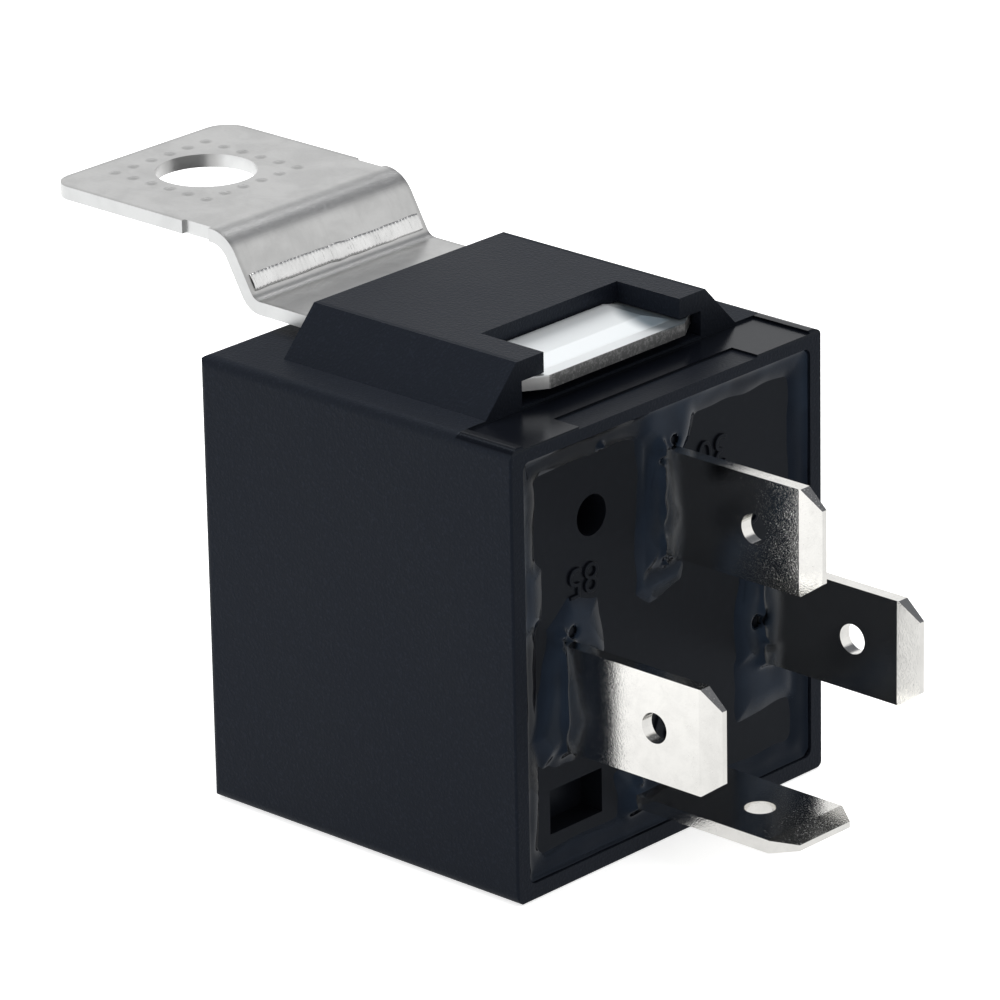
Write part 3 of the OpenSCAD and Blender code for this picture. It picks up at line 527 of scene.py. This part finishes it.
class RELAY_OT_plastic_finishes(bpy.types.Operator):
    """Finish the moulded cover, base plate and bobbin"""
    bl_idname = "relay.plastic_finishes"
    bl_label = "Finish plastic parts"

    def execute(self, context):
        given = context.scene.relay_plastic
        dress("cover", cover_finish(given))
        dress("base_plate", plastic(
            "base_texture", given.base_colour, grain=0.0007, roughness=0.32, specular=0.09,
            lift=0.000010, tone=0.25, bump=0.25, sheen=BLUISH)[0])
        dress("bobbin", plastic(
            "bobbin_texture", given.nylon_colour, grain=0.0006, roughness=0.42,
            specular=0.5, lift=0.000008, tone=0.05)[0])
        return {"FINISHED"}


class RELAY_OT_metal_finishes(bpy.types.Operator):
    """Finish the bracket, blades, magnet, contacts and rivets"""
    bl_idname = "relay.metal_finishes"
    bl_label = "Finish metal parts"

    def execute(self, context):
        given = context.scene.relay_metal
        dress("mounting_bracket", zinc_finish(given.zinc_colour))
        tin = tin_finish(given.tin_colour)
        for node in (*BLADES, "resistor_lead_85", "resistor_lead_86"):
            dress(node, tin)
        # Material, colour, worn colour's factor, roughness, its spread, cloud, and its nodes
        plain = (
            ("soft_iron", given.iron_colour, 0.7, 0.34, 0.2, 0.5, ("core", "yoke", "armature")),
            ("plain_brass", given.brass_colour, 0.75, 0.30, 0.15, 0.4, ("rest_stop",)),
            ("contact_silver", given.silver_colour, 0.8, 0.22, 0.12, 0.4,
             ("moving_contact", "fixed_contact")),
            ("rivet_steel", given.steel_colour, 0.7, 0.32, 0.2, 0.4,
             ("yoke_rivet_1", "yoke_rivet_2", "armature_rivet_1", "armature_rivet_2")))
        for name, colour, worn, roughness, spread, cloud, nodes in plain:
            finish = metal(name, colour, worn, roughness, spread, cloud)[0]
            for node in nodes:
                dress(node, finish)
        return {"FINISHED"}


# ---------------------------------------------------------------- surfaces

def grid_faces(rows, columns, wrap=False):
    """Quads over a grid of points, row by row; the last column joins the first if wrapped."""
    i = np.arange(rows - 1)[:, None]
    j = np.arange(columns if wrap else columns - 1)[None, :]
    right = (j + 1) % columns
    return np.stack([i * columns + j, i * columns + right,
                     (i + 1) * columns + right, (i + 1) * columns + j],
                    axis=-1).reshape(-1, 4)


def solid_from(name, points, faces, smooth_shaded=True, masks=None):
    """Mesh object from arrays, in metres, with unused points dropped; masks are per point."""
    used, compact = np.unique(faces, return_inverse=True)
    points, faces = points[used], compact.reshape(faces.shape)
    data = bpy.data.meshes.new(name)
    data.vertices.add(len(points))
    data.vertices.foreach_set("co", points.astype(np.float32).ravel())
    data.loops.add(faces.size)
    data.loops.foreach_set("vertex_index", faces.astype(np.int32).ravel())
    data.polygons.add(len(faces))
    data.polygons.foreach_set("loop_start",
                              np.arange(0, faces.size, faces.shape[1], dtype=np.int32))
    data.polygons.foreach_set("use_smooth", np.full(len(faces), smooth_shaded))
    data.update(calc_edges=True)
    for mask, values in (masks or {}).items():
        data.attributes.new(mask, "FLOAT", "POINT").data.foreach_set(
            "value", values[used].astype(np.float32))
    data.validate()
    made = bpy.data.objects.new(name, data)
    bpy.context.scene.collection.objects.link(made)
    return made


def thicken(piece, wall):
    """Give a sheet its wall, behind its surface; returns the modifier."""
    skin = piece.modifiers.new("skin", "SOLIDIFY")
    skin.thickness = wall
    skin.offset = -1.0
    return skin


def ripple(y, z, size, seed):
    """Smooth random field of about one: the sum of twelve sine waves of seeded directions
    and phases, over 3.5."""
    chance = np.random.default_rng(seed)
    field = np.zeros_like(y)
    for turn, phase, stretch in chance.uniform(0, 1, (12, 3)):
        k = 2 * math.pi / (size * (0.6 + 0.9 * stretch))
        a = 2 * math.pi * turn
        field += np.sin(k * (y * math.cos(a) + z * math.sin(a)) + 2 * math.pi * phase)
    return field / 3.5


def from_box(y, z, cy, cz, hy, hz, r=0.0):
    """Signed distance to a rectangle with round corners: below zero inside it."""
    qy, qz = np.abs(y - cy) - hy + r, np.abs(z - cz) - hz + r
    outside = np.hypot(np.maximum(qy, 0), np.maximum(qz, 0))
    return outside + np.minimum(np.maximum(qy, qz), 0) - r


def pool(distance, depth, width):
    """Depth of a pool: level inside, then a parabola that meets the face and runs below it."""
    t = np.clip((distance + width) / width, 0, 1.5)
    return depth * (1 - t * t)


def union(fields, soft=0.07):
    """Smooth maximum of several heights: soft times the log of the sum of e to height over
    soft."""
    stack = np.stack(fields)
    top = stack.max(axis=0)
    return top + soft * np.log(np.exp((stack - top) / soft).sum(axis=0))


def from_outline(y, z, corners):
    """Signed distance to a closed outline: below zero inside it."""
    away = np.full_like(y, np.inf)
    inside = np.zeros(y.shape, bool)
    for (y0, z0), (y1, z1) in zip(corners, corners[1:] + corners[:1]):
        dy, dz = y1 - y0, z1 - z0
        t = np.clip(((y - y0) * dy + (z - z0) * dz) / (dy * dy + dz * dz), 0, 1)
        away = np.minimum(away, np.hypot(y - y0 - t * dy, z - z0 - t * dz))
        if dz:
            inside ^= ((z0 > z) != (z1 > z)) & (y < y0 + (z - z0) * dy / dz)
    return np.where(inside, -away, away)


# Outline of each pool on the face as (y, z) corners, with its depth, in millimetres
POOLS = (
    (((-2.2, 27.0), (5.6, 27.0), (5.4, 25.4), (2.6, 25.0), (2.2, 23.4), (1.4, 22.4),
      (0.6, 22.6), (-0.8, 23.2), (-2.0, 24.4)), 0.30),                  # top to blade 30
    (((-1.3, 23.4), (0.9, 22.8), (0.9, 17.6), (0.2, 16.6), (-1.6, 16.5), (-1.9, 19.0),
      (-1.6, 22.0)), 0.36),                                             # beside blade 30
    (((-2.1, 24.6), (-1.5, 24.4), (-1.5, 16.0), (1.4, 15.9), (1.3, 15.2), (-1.2, 14.8),
      (-2.2, 15.4)), 0.13),                                             # its thin skirt
    (((6.6, 25.7), (8.2, 27.0), (13.0, 27.0), (13.0, 19.2), (12.0, 18.9), (11.3, 21.4),
      (11.0, 24.9), (8.0, 25.4)), 0.26),                                # top right corner
    (((-13.0, 24.6), (-11.3, 24.2), (-11.0, 19.6), (-10.3, 19.0), (-10.2, 16.2),
      (-10.9, 15.6), (-12.0, 14.8), (-13.0, 14.8)), 0.26),              # left channel
    (((-9.7, 15.4), (-7.9, 16.5), (-5.7, 16.0), (-5.3, 12.9), (-6.9, 13.2), (-8.0, 14.0),
      (-9.4, 14.3)), 0.24),                                             # above blade 85
    (((-9.5, 14.6), (-8.0, 14.4), (-7.3, 12.0), (-7.3, 8.6), (-8.4, 7.9), (-10.2, 7.5),
      (-11.2, 9.2), (-10.5, 11.5)), 0.40),                              # beside blade 85
    (((6.7, 14.4), (8.6, 14.6), (8.6, 8.0), (6.2, 8.2), (6.1, 11.0)), 0.34),   # blade 86
    (((6.0, 8.4), (7.8, 9.2), (10.8, 8.8), (10.8, 5.2), (6.3, 5.0)), 0.20),    # below it
    (((-4.1, 4.9), (-1.9, 4.7), (-1.5, 3.5), (1.8, 3.6), (2.2, 2.6), (-3.6, 2.5)), 0.30),
)
# Centre (y, z) and radius of each air hole and each bead of resin, in millimetres
HOLES = ((0.75, 23.55, 0.42), (-0.25, 22.75, 0.45), (-7.75, 14.75, 0.40), (-8.5, 14.1, 0.36),
         (-8.0, 8.7, 0.34), (0.15, 17.3, 0.40), (7.7, 10.6, 0.50))
BEADS = ((-0.5, 23.75, 0.42), (-8.75, 14.95, 0.42), (-2.6, 4.2, 0.50), (-5.3, 25.0, 0.30),
         (-0.1, 16.5, 0.20), (8.1, 9.4, 0.34))
# Vent hole and tool pocket: centre, half sizes and corner radius
OPEN = ((-5.95, 21.1, 1.2, 1.2, 1.2), (-7.55, 4.475, 2.15, 1.325, 0.05))
RESIN_INSET = 0.97       # from the cover's outer sides to the edge of the resin
MIDDLE = COVER_TALL / 2  # height of the middle of the cover


def blade_place(blade):
    """Centre and half sizes of a blade across the face, in millimetres."""
    high = span(blade)[1]
    wide, thick = BLADE_WIDE / 2, BLADE_THICK / 2
    if blade == "terminal_87":
        return 0.0, wide, wide, thick
    aside = {"terminal_85": -COIL_BLADES_APART / 2, "terminal_86": COIL_BLADES_APART / 2}
    return aside.get(blade, 0.0), high[2] - wide, thick, wide


def resin_height(y, z, fill, climb, spread):
    """Height of the resin above the raised face, in millimetres, and a mask of its pools, which
    gets a painted sheen.

    The channel is filled level and climbs the cover's wall as e to the minus distance;
    pools with their own outlines lie round the blades; each blade carries a collar that
    climbs it the same way, and air holes and beads are round bells dug out or added. The
    vent hole and the tool pocket stay open.
    """
    wobble = ripple(y, z, 3.4, 3)
    wall = -from_box(y, z, 0, MIDDLE, COVER_HIGH[1] - 1.0, MIDDLE - 1.0, 0.5)
    face = from_box(y, z, 0, MIDDLE, COVER_HIGH[1] - 2.0, MIDDLE - 2.0, 0.8)
    channel = pool(-face - 0.30 - 0.09 * wobble, fill, 0.75)
    painted_sheen_pools = np.zeros_like(y)
    heights = [channel + 0.26 * np.exp(-np.maximum(wall, 0) / 0.30)]
    for corners, depth in POOLS:
        shore = from_outline(y, z, corners) - 0.12 + 0.10 * wobble
        heights.append(pool(shore, depth, 1.2))
        # the pools' mask, used only for the painted sheen
        painted_sheen_pools = np.maximum(painted_sheen_pools, np.clip(0.3 - shore, 0, 1))
    for blade in BLADES:
        away = np.maximum(from_box(y, z, *blade_place(blade)), 0)
        lift = climb * (1 + 0.20 * ripple(y, z, 2.2, 21))
        heights.append(lift * np.exp(-away / spread) - 0.10 - 0.04 * away)
    height = union(heights) + 0.012 * ripple(y, z, 3.4, 14)
    for places, rise in ((HOLES, -0.9), (BEADS, 0.40)):
        for cy, cz, radius in places:
            away = np.hypot(y - cy, z - cz)
            height = height + rise * np.exp(-(away / (0.6 * radius)) ** 2)
    for hole in OPEN:
        gap = from_box(y, z, *hole)
        height = np.where(gap < 0.35, np.minimum(height, (gap - 0.2) * 1.5), height)
    return height, painted_sheen_pools


class RELAY_OT_casting_resin(bpy.types.Operator):
    """Pour the glossy casting resin over the base plate"""
    bl_idname = "relay.casting_resin"
    bl_label = "Casting resin"

    def execute(self, context):
        given = context.scene.relay_resin
        step = given.step / MM
        half, tall = COVER_HIGH[1] - RESIN_INSET, MIDDLE - RESIN_INSET
        ys = np.linspace(-half, half, int(2 * half / step) + 1)
        zs = np.linspace(MIDDLE - tall, MIDDLE + tall, int(2 * tall / step) + 1)
        z, y = np.meshgrid(zs, ys, indexing="ij")
        height, painted_sheen_pools = resin_height(y, z, given.fill / MM, given.climb / MM,
                                      given.spread / MM)
        rim = from_box(y, z, 0, MIDDLE, half, tall, 0.5)
        points = np.stack([BASE_HIGH[0] + height, y, z], axis=-1).reshape(-1, 3) * MM
        faces = grid_faces(len(zs), len(ys))
        wet = ((height > -0.09) & (rim < 0.03)).reshape(-1)
        faces = faces[wet[faces].all(axis=1)]
        sheet = solid_from("casting_resin", points, faces,
                           masks={"painted_sheen_pools": painted_sheen_pools.reshape(-1)})
        thicken(sheet, given.wall)
        made, tree, shader, place = blank("casting_resin")
        look = placed(tree, plated_mottle,
                      {"Vector": place, "Colour": rgba(given.colour),
                       "Dark": rgba(shade(given.colour, 1.8)), "Cloud Scale": 240.0,
                       "Speckle Scale": 2600.0, "Cloud": 0.5,
                       "Roughness": 0.07, "Roughness Spread": 0.04})
        wave = put(tree, "ShaderNodeTexNoise",
                   {"Vector": place, "Scale": 380.0, "Detail": 1.5,
                    "Roughness": 0.4}).outputs["Fac"]
        painted_sheen_pools = put(tree, "ShaderNodeAttribute", attribute_name="painted_sheen_pools").outputs["Fac"]
        # painted sheen: the pools move toward the pale bluish colour, broken by noise
        painted_sheen_amount = times(tree, painted_sheen_pools, smooth(tree, wave, 0.35, 0.60, 0.55, 1.0))
        toned = blended(tree, painted_sheen_amount, look["Colour"], given.sheen)
        feed(tree, shader, toned, look["Roughness"], wave, lift=0.00016, bump=0.5,
             Specular_IOR_Level=0.16, Specular_Tint=(0.45, 0.66, 1.0, 1.0))
        sheet.data.materials.append(made)
        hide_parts("sealing_resin")
        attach(sheet, "relay")
        return {"FINISHED"}


# Centre (y, z) of each number on the face, in millimetres
NUMBERS = {"30": (4.1, 21.95), "85": (-6.8, 17.6), "86": (6.8, 17.6), "87": (-0.2, 6.6)}


class RELAY_OT_numbers(bpy.types.Operator):
    """Raise the contact numbers on the base plate"""
    bl_idname = "relay.numbers"
    bl_label = "Contact numbers"

    def execute(self, context):
        given = context.scene.relay_numbers
        foot = 0.00004              # how far a number is sunk in the face
        digit = 0.70                # height of a digit as a share of the font's size
        finish = plastic(
            "number_texture", shade(context.scene.relay_plastic.base_colour, 1.2),
            grain=0.0004, roughness=0.30, specular=0.08, lift=0.000006, tone=0.2,
            sheen=BLUISH)[0]
        # The font's right, up and front become -Y, -Z and +X
        turned = Matrix(((0, 0, 1), (-1, 0, 0), (0, -1, 0)))
        for words, (cy, cz) in NUMBERS.items():
            curve = bpy.data.curves.new("number_" + words, "FONT")
            curve.body = words
            curve.size = given.height / digit
            curve.align_x = "CENTER"
            curve.align_y = "CENTER"
            curve.extrude = given.relief / 2 + foot
            curve.bevel_depth = 0.00003
            curve.offset = -0.000045
            curve.bevel_resolution = 1
            curve.resolution_u = 6
            flat = bpy.data.objects.new("flat_" + words, curve)
            data = bpy.data.meshes.new_from_object(flat)
            bpy.data.objects.remove(flat)
            place = turned.to_4x4()
            place.translation = (BASE_HIGH[0] * MM + given.relief / 2 - foot,
                                 cy * MM, cz * MM)
            data.transform(place)
            piece = bpy.data.objects.new("number_" + words, data)
            context.scene.collection.objects.link(piece)
            data.materials.clear()
            data.materials.append(finish)
            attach(piece, "relay")
        return {"FINISHED"}


class RELAY_OT_coined_line(bpy.types.Operator):
    """Press the ribbed line across the bracket's lower bend"""
    bl_idname = "relay.coined_line"
    bl_label = "Coined line"

    def execute(self, context):
        """A band on the riser's foot: u runs across the strip and v up the slope. Its height
        is the product of a round crown over v and a train of rounded ribs over u."""
        given = context.scene.relay_metal
        bend_x = COVER_HIGH[0] - 24.9
        half, slope = 6.9, math.radians(60)
        middle, width, sunk = 0.98, 0.95, 0.012
        u = np.linspace(-half, half, given.ribs * 10 + 1)
        vv, uu = np.meshgrid(np.linspace(0, 1, 13), u, indexing="ij")
        level = vv * 0
        width = width * (1 + 0.05 * ripple(uu, level, 1.4, 6))
        along = middle + 0.02 * ripple(uu, level, 5.0, 5) + (vv - 0.5) * width
        crown = np.sin(math.pi * vv) ** 0.7
        phase = uu * given.ribs / (2 * half) + 0.25 * ripple(uu, level, 2.0, 7)
        ribs = 0.60 + 0.40 * np.abs(np.cos(math.pi * phase)) ** 0.6
        lift = (given.rib_height / MM + sunk) * crown * ribs - sunk
        x = bend_x - along * math.cos(slope) + lift * math.sin(slope)
        z = STRIP_TOP + along * math.sin(slope) + lift * math.cos(slope)
        points = np.stack([x, uu, z], axis=-1).reshape(-1, 3) * MM
        piece = solid_from("coined_line", points, grid_faces(*uu.shape)[:, ::-1])
        thicken(piece, 0.0001)
        piece.data.materials.append(metal(
            "coined_zinc", shade(given.zinc_colour, 1.4), 1 / 1.4, 0.22, 0.08,
            bump=0.1)[0])
        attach(piece, "relay")
        return {"FINISHED"}


class RELAY_OT_coil(bpy.types.Operator):
    """Wind the coil and finish the resistor"""
    bl_idname = "relay.coil"
    bl_label = "Coil and resistor"

    def execute(self, context):
        """The winding is a tube about the coil's axis. Its radius dips by half a wire at every
        turn, as the absolute sine of the helix angle, and both ends close to the bobbin."""
        given = context.scene.relay_coil
        low, high = WINDING_LOW, WINDING_HIGH
        centre = (low + high) / 2
        radius, barrel = (high[1] - low[1]) / 2, 3.35
        pitch = (high[0] - low[0]) / given.turns
        s = np.linspace(0, 1, given.turns * 6 + 1)
        t = np.linspace(0, 2 * math.pi, 73)[:-1]
        ss, tt = np.meshgrid(s, t, indexing="ij")
        x = low[0] + ss * (high[0] - low[0])
        turn = (x - low[0]) / pitch - tt / (2 * math.pi)
        r = radius - 0.5 * pitch * (1 - np.abs(np.sin(math.pi * turn)))
        outer = np.stack([x, centre[1] + r * np.cos(tt), centre[2] + r * np.sin(tt)], axis=-1)
        inner = outer[[-1, 0]].copy()
        inner[..., 1] = centre[1] + barrel * np.cos(tt[:2])
        inner[..., 2] = centre[2] + barrel * np.sin(tt[:2])
        rings = np.concatenate([outer, inner, outer[:1]])
        points = rings.reshape(-1, 3) * MM
        faces = grid_faces(len(rings), len(t), wrap=True)
        last_ring = (len(rings) - 1) * len(t)
        faces = np.where(faces >= last_ring, faces - last_ring, faces)
        piece = solid_from("wound_wire", points, faces)
        wire = metal("enamelled_wire", given.wire_colour, 0.6, 0.28, 0.1, cloud=0.3)[0]
        piece.data.materials.append(wire)
        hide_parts("coil_winding")
        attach(piece, "relay")
        for node in ("coil_lead_85", "coil_lead_86"):
            dress(node, wire)
        dress("resistor_body", plastic(
            "resistor_enamel", given.resistor_colour, grain=0.0009, roughness=0.22,
            specular=0.5, lift=0.00001, tone=0.08)[0])
        return {"FINISHED"}


class RELAY_OT_leaf_spring(bpy.types.Operator):
    """Bend the leaf spring from its leg on the yoke to its arm on the armature"""
    bl_idname = "relay.leaf_spring"
    bl_label = "Leaf spring"

    def execute(self, context):
        """A strip: u runs along the leg, round a quarter circle and down the arm, and v across.
        The half width is level, then falls in a line to the contact's end, which is a half
        circle; the quads of the window at the hinge are left out."""
        given = context.scene.relay_metal
        low, high = SPRING_LOW, SPRING_HIGH
        radius, end = 1.55, 1.8                     # of the bend and of the contact's end
        window, on_leg, on_arm = 1.8, 1.4, 2.0      # half width and reach of the window
        x_bend, z_bend, z_end = low[0] + radius, high[2] - radius, low[2] + end
        z_wide, z_narrow = z_bend - 6.7, z_end + 1.6        # the arm tapers between these
        leg = np.concatenate([np.linspace(high[0], x_bend + on_leg, 12),
                              np.linspace(x_bend + on_leg, x_bend, 4)[1:-1]])
        turn = np.linspace(math.pi / 2, math.pi, 25)
        tip = z_end - end * np.sin(np.linspace(0, math.pi / 2 - 0.03, 13))
        arm = np.concatenate([np.linspace(z_bend, z_bend - on_arm, 5)[1:],
                              np.linspace(z_bend - on_arm, z_wide, 6)[1:],
                              np.linspace(z_wide, z_narrow, 8)[1:],
                              np.linspace(z_narrow, z_end, 3)[1:-1], tip])
        x = np.concatenate([leg, x_bend + radius * np.cos(turn), np.full(len(arm), low[0])])
        z = np.concatenate([np.full(len(leg), high[2]), z_bend + radius * np.sin(turn), arm])
        half = np.interp(-z, (-high[2], -z_wide, -z_narrow), (high[1], high[1], end))
        half = np.where(z < z_end, np.sqrt(np.maximum(end ** 2 - (z_end - z) ** 2, 0)), half)
        share = window / high[1]
        v = np.concatenate([np.linspace(-1, -share, 9), np.linspace(-share, share, 13)[1:],
                            np.linspace(share, 1, 9)[1:]])
        y = half[:, None] * v[None, :]
        points = np.stack([np.broadcast_to(x[:, None], y.shape), y,
                           np.broadcast_to(z[:, None], y.shape)], axis=-1).reshape(-1, 3)
        faces = grid_faces(len(x), len(v))
        middle = points[faces].mean(axis=1)
        cut = ((np.abs(middle[:, 1]) < window) & (middle[:, 0] < x_bend + on_leg)
               & (middle[:, 2] > z_bend - on_arm))
        piece = solid_from("leaf_spring", points * MM, faces[~cut], False)
        thicken(piece, 0.00025).use_even_offset = True
        piece.data.materials.append(metal("spring_bronze", given.bronze_colour, 0.75,
                                          0.27, 0.15)[0])
        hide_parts("contact_spring")
        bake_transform(piece)
        return {"FINISHED"}


# ---------------------------------------------------------------- stage

def seen_white(tree):
    """One for camera, glossy and transmitted rays, nought for the rest."""
    path = tree.nodes.new("ShaderNodeLightPath").outputs
    return most(tree, path["Is Camera Ray"],
                most(tree, path["Is Glossy Ray"], path["Is Transmission Ray"]))


def soft_lamp(name, place, size, power):
    """Square area lamp that faces the relay's middle."""
    lamp = bpy.data.lights.new(name, "AREA")
    lamp.shape = "SQUARE"
    lamp.size = size
    lamp.energy = power
    made = bpy.data.objects.new(name, lamp)
    made.location = place
    toward = Vector((0.0, 0.0, 0.012)) - made.location
    made.rotation_euler = toward.to_track_quat("-Z", "Y").to_euler()
    bpy.context.scene.collection.objects.link(made)


class RELAY_OT_stage(bpy.types.Operator):
    """Lay the pale floor, light it softly and set the camera"""
    bl_idname = "relay.stage"
    bl_label = "Studio stage"

    def execute(self, context):
        given = context.scene.relay_stage
        self.floor(given)
        self.world(context.scene, given)
        soft_lamp("key_softbox", (-0.12, 0.10, 0.60), 0.45, given.key)
        soft_lamp("fill_softbox", (-0.25, -0.75, 0.30), 0.40, given.fill)
        self.camera(context.scene, given)
        context.scene.view_settings.view_transform = "Standard"
        return {"FINISHED"}

    def floor(self, given):
        """White to the camera; metal mirrors it brighter on the -X side than on the +X side."""
        half = given.floor_size / 2
        sunk = -0.00002             # just below the resting face
        points = np.array([(-half, -half, sunk), (half, -half, sunk), (half, half, sunk),
                           (-half, half, sunk)])
        floor = solid_from("floor", points, np.array([[0, 1, 2, 3]]), False)
        made, tree, shader, place = blank("floor_paper")
        feed(tree, shader, Roughness=0.9, Specular_IOR_Level=0.1)
        path = tree.nodes.new("ShaderNodeLightPath").outputs
        mirrored = smooth(tree, split(tree, place)["X"], -0.04, 0.03, 1.22, 0.68)
        lift = most(tree, times(tree, path["Is Camera Ray"], 0.66),
                    times(tree, path["Is Glossy Ray"], mirrored))
        tree.links.new(blended(tree, path["Is Glossy Ray"], given.floor_colour,
                               shade(given.floor_colour, 0.25)), shader.inputs["Base Color"])
        glow = put(tree, "ShaderNodeEmission", {"Color": (1, 1, 1, 1), "Strength": lift})
        lifted = put(tree, "ShaderNodeAddShader", {0: shader.outputs[0], 1: glow.outputs[0]})
        both = put(tree, "ShaderNodeMixShader",
                   {0: seen_white(tree), 1: shader.outputs[0], 2: lifted.outputs[0]})
        tree.links.new(both.outputs[0], found(tree, "OUTPUT_MATERIAL").inputs["Surface"])
        floor.data.materials.append(made)

    def world(self, scene, given):
        """Even light; metal mirrors white, with a dark band 30 to 60 degrees up but for +X."""
        world = bpy.data.worlds.new("studio")
        scene.world = world
        world.use_nodes = True
        tree = world.node_tree
        tree.nodes.clear()
        dim = put(tree, "ShaderNodeBackground", {"Color": (1.0, 1.0, 1.0, 1),
                                                 "Strength": given.ambient})
        path = tree.nodes.new("ShaderNodeLightPath").outputs
        toward = split(tree, tree.nodes.new("ShaderNodeTexCoord").outputs["Generated"])
        high = times(tree, smooth(tree, toward["Z"], 0.42, 0.62),
                     smooth(tree, toward["Z"], 0.80, 0.92, 1.0, 0.0))
        band = times(tree, high, smooth(tree, toward["X"], 0.22, 0.50, 1.0, 0.0))
        dusk = times(tree, band, without(tree, path["Is Camera Ray"]))
        tone = blended(tree, dusk, (1.0, 1.0, 1.0), (0.16, 0.165, 0.18))
        white = put(tree, "ShaderNodeBackground", {"Color": tone, "Strength": 1.0})
        mix = put(tree, "ShaderNodeMixShader", {0: seen_white(tree), 1: dim.outputs[0],
                                                2: white.outputs[0]})
        out = tree.nodes.new("ShaderNodeOutputWorld")
        tree.links.new(mix.outputs[0], out.inputs["Surface"])

    def camera(self, scene, given):
        """Looks at its target along the direction that azimuth and elevation give."""
        a, e, r = given.azimuth, given.elevation, given.roll
        back = Vector((math.sin(a) * math.cos(e), -math.cos(a) * math.cos(e), math.sin(e)))
        right = Vector((math.cos(a), math.sin(a), 0.0))
        up = back.cross(right)
        lens_x = right * math.cos(r) + up * math.sin(r)
        lens_y = up * math.cos(r) - right * math.sin(r)
        turn = Matrix((lens_x, lens_y, back)).transposed().to_4x4()
        turn.translation = Vector(given.target) + back * given.distance
        data = bpy.data.cameras.new("product_camera")
        data.lens = given.lens
        data.sensor_width = 36.0
        data.clip_start = 0.01
        data.clip_end = 20.0
        camera = bpy.data.objects.new("product_camera", data)
        camera.matrix_world = turn
        scene.collection.objects.link(camera)
        scene.camera = camera


OPERATORS = (RELAY_OT_stage, RELAY_OT_plastic_finishes, RELAY_OT_metal_finishes,
             RELAY_OT_casting_resin, RELAY_OT_numbers, RELAY_OT_coined_line, RELAY_OT_coil,
             RELAY_OT_leaf_spring)


class RELAY_PT_sidebar(bpy.types.Panel):
    """Relay tools in the sidebar"""
    bl_idname = "RELAY_PT_sidebar"
    bl_label = "Automotive relay"
    bl_space_type = "VIEW_3D"
    bl_region_type = "UI"
    bl_category = "Relay"

    def draw(self, context):
        for tool in OPERATORS:
            self.layout.operator(tool.bl_idname)
        for name in SETTINGS:
            box = self.layout.box()
            box.label(text=name.replace("relay_", "").title())
            given = getattr(context.scene, name)
            for field in given.__annotations__:
                box.prop(given, field)


def register():
    for name, kind in SETTINGS.items():
        bpy.utils.register_class(kind)
        setattr(bpy.types.Scene, name, PointerProperty(type=kind))
    for tool in OPERATORS:
        bpy.utils.register_class(tool)
    bpy.utils.register_class(RELAY_PT_sidebar)


def unregister():
    bpy.utils.unregister_class(RELAY_PT_sidebar)
    for tool in reversed(OPERATORS):
        bpy.utils.unregister_class(tool)
    for name, kind in SETTINGS.items():
        delattr(bpy.types.Scene, name)
        bpy.utils.unregister_class(kind)


def main():
    register()
    for tool in OPERATORS:
        family, action = tool.bl_idname.split(".")
        getattr(getattr(bpy.ops, family), action)()


if __name__ == "__main__":
    main()
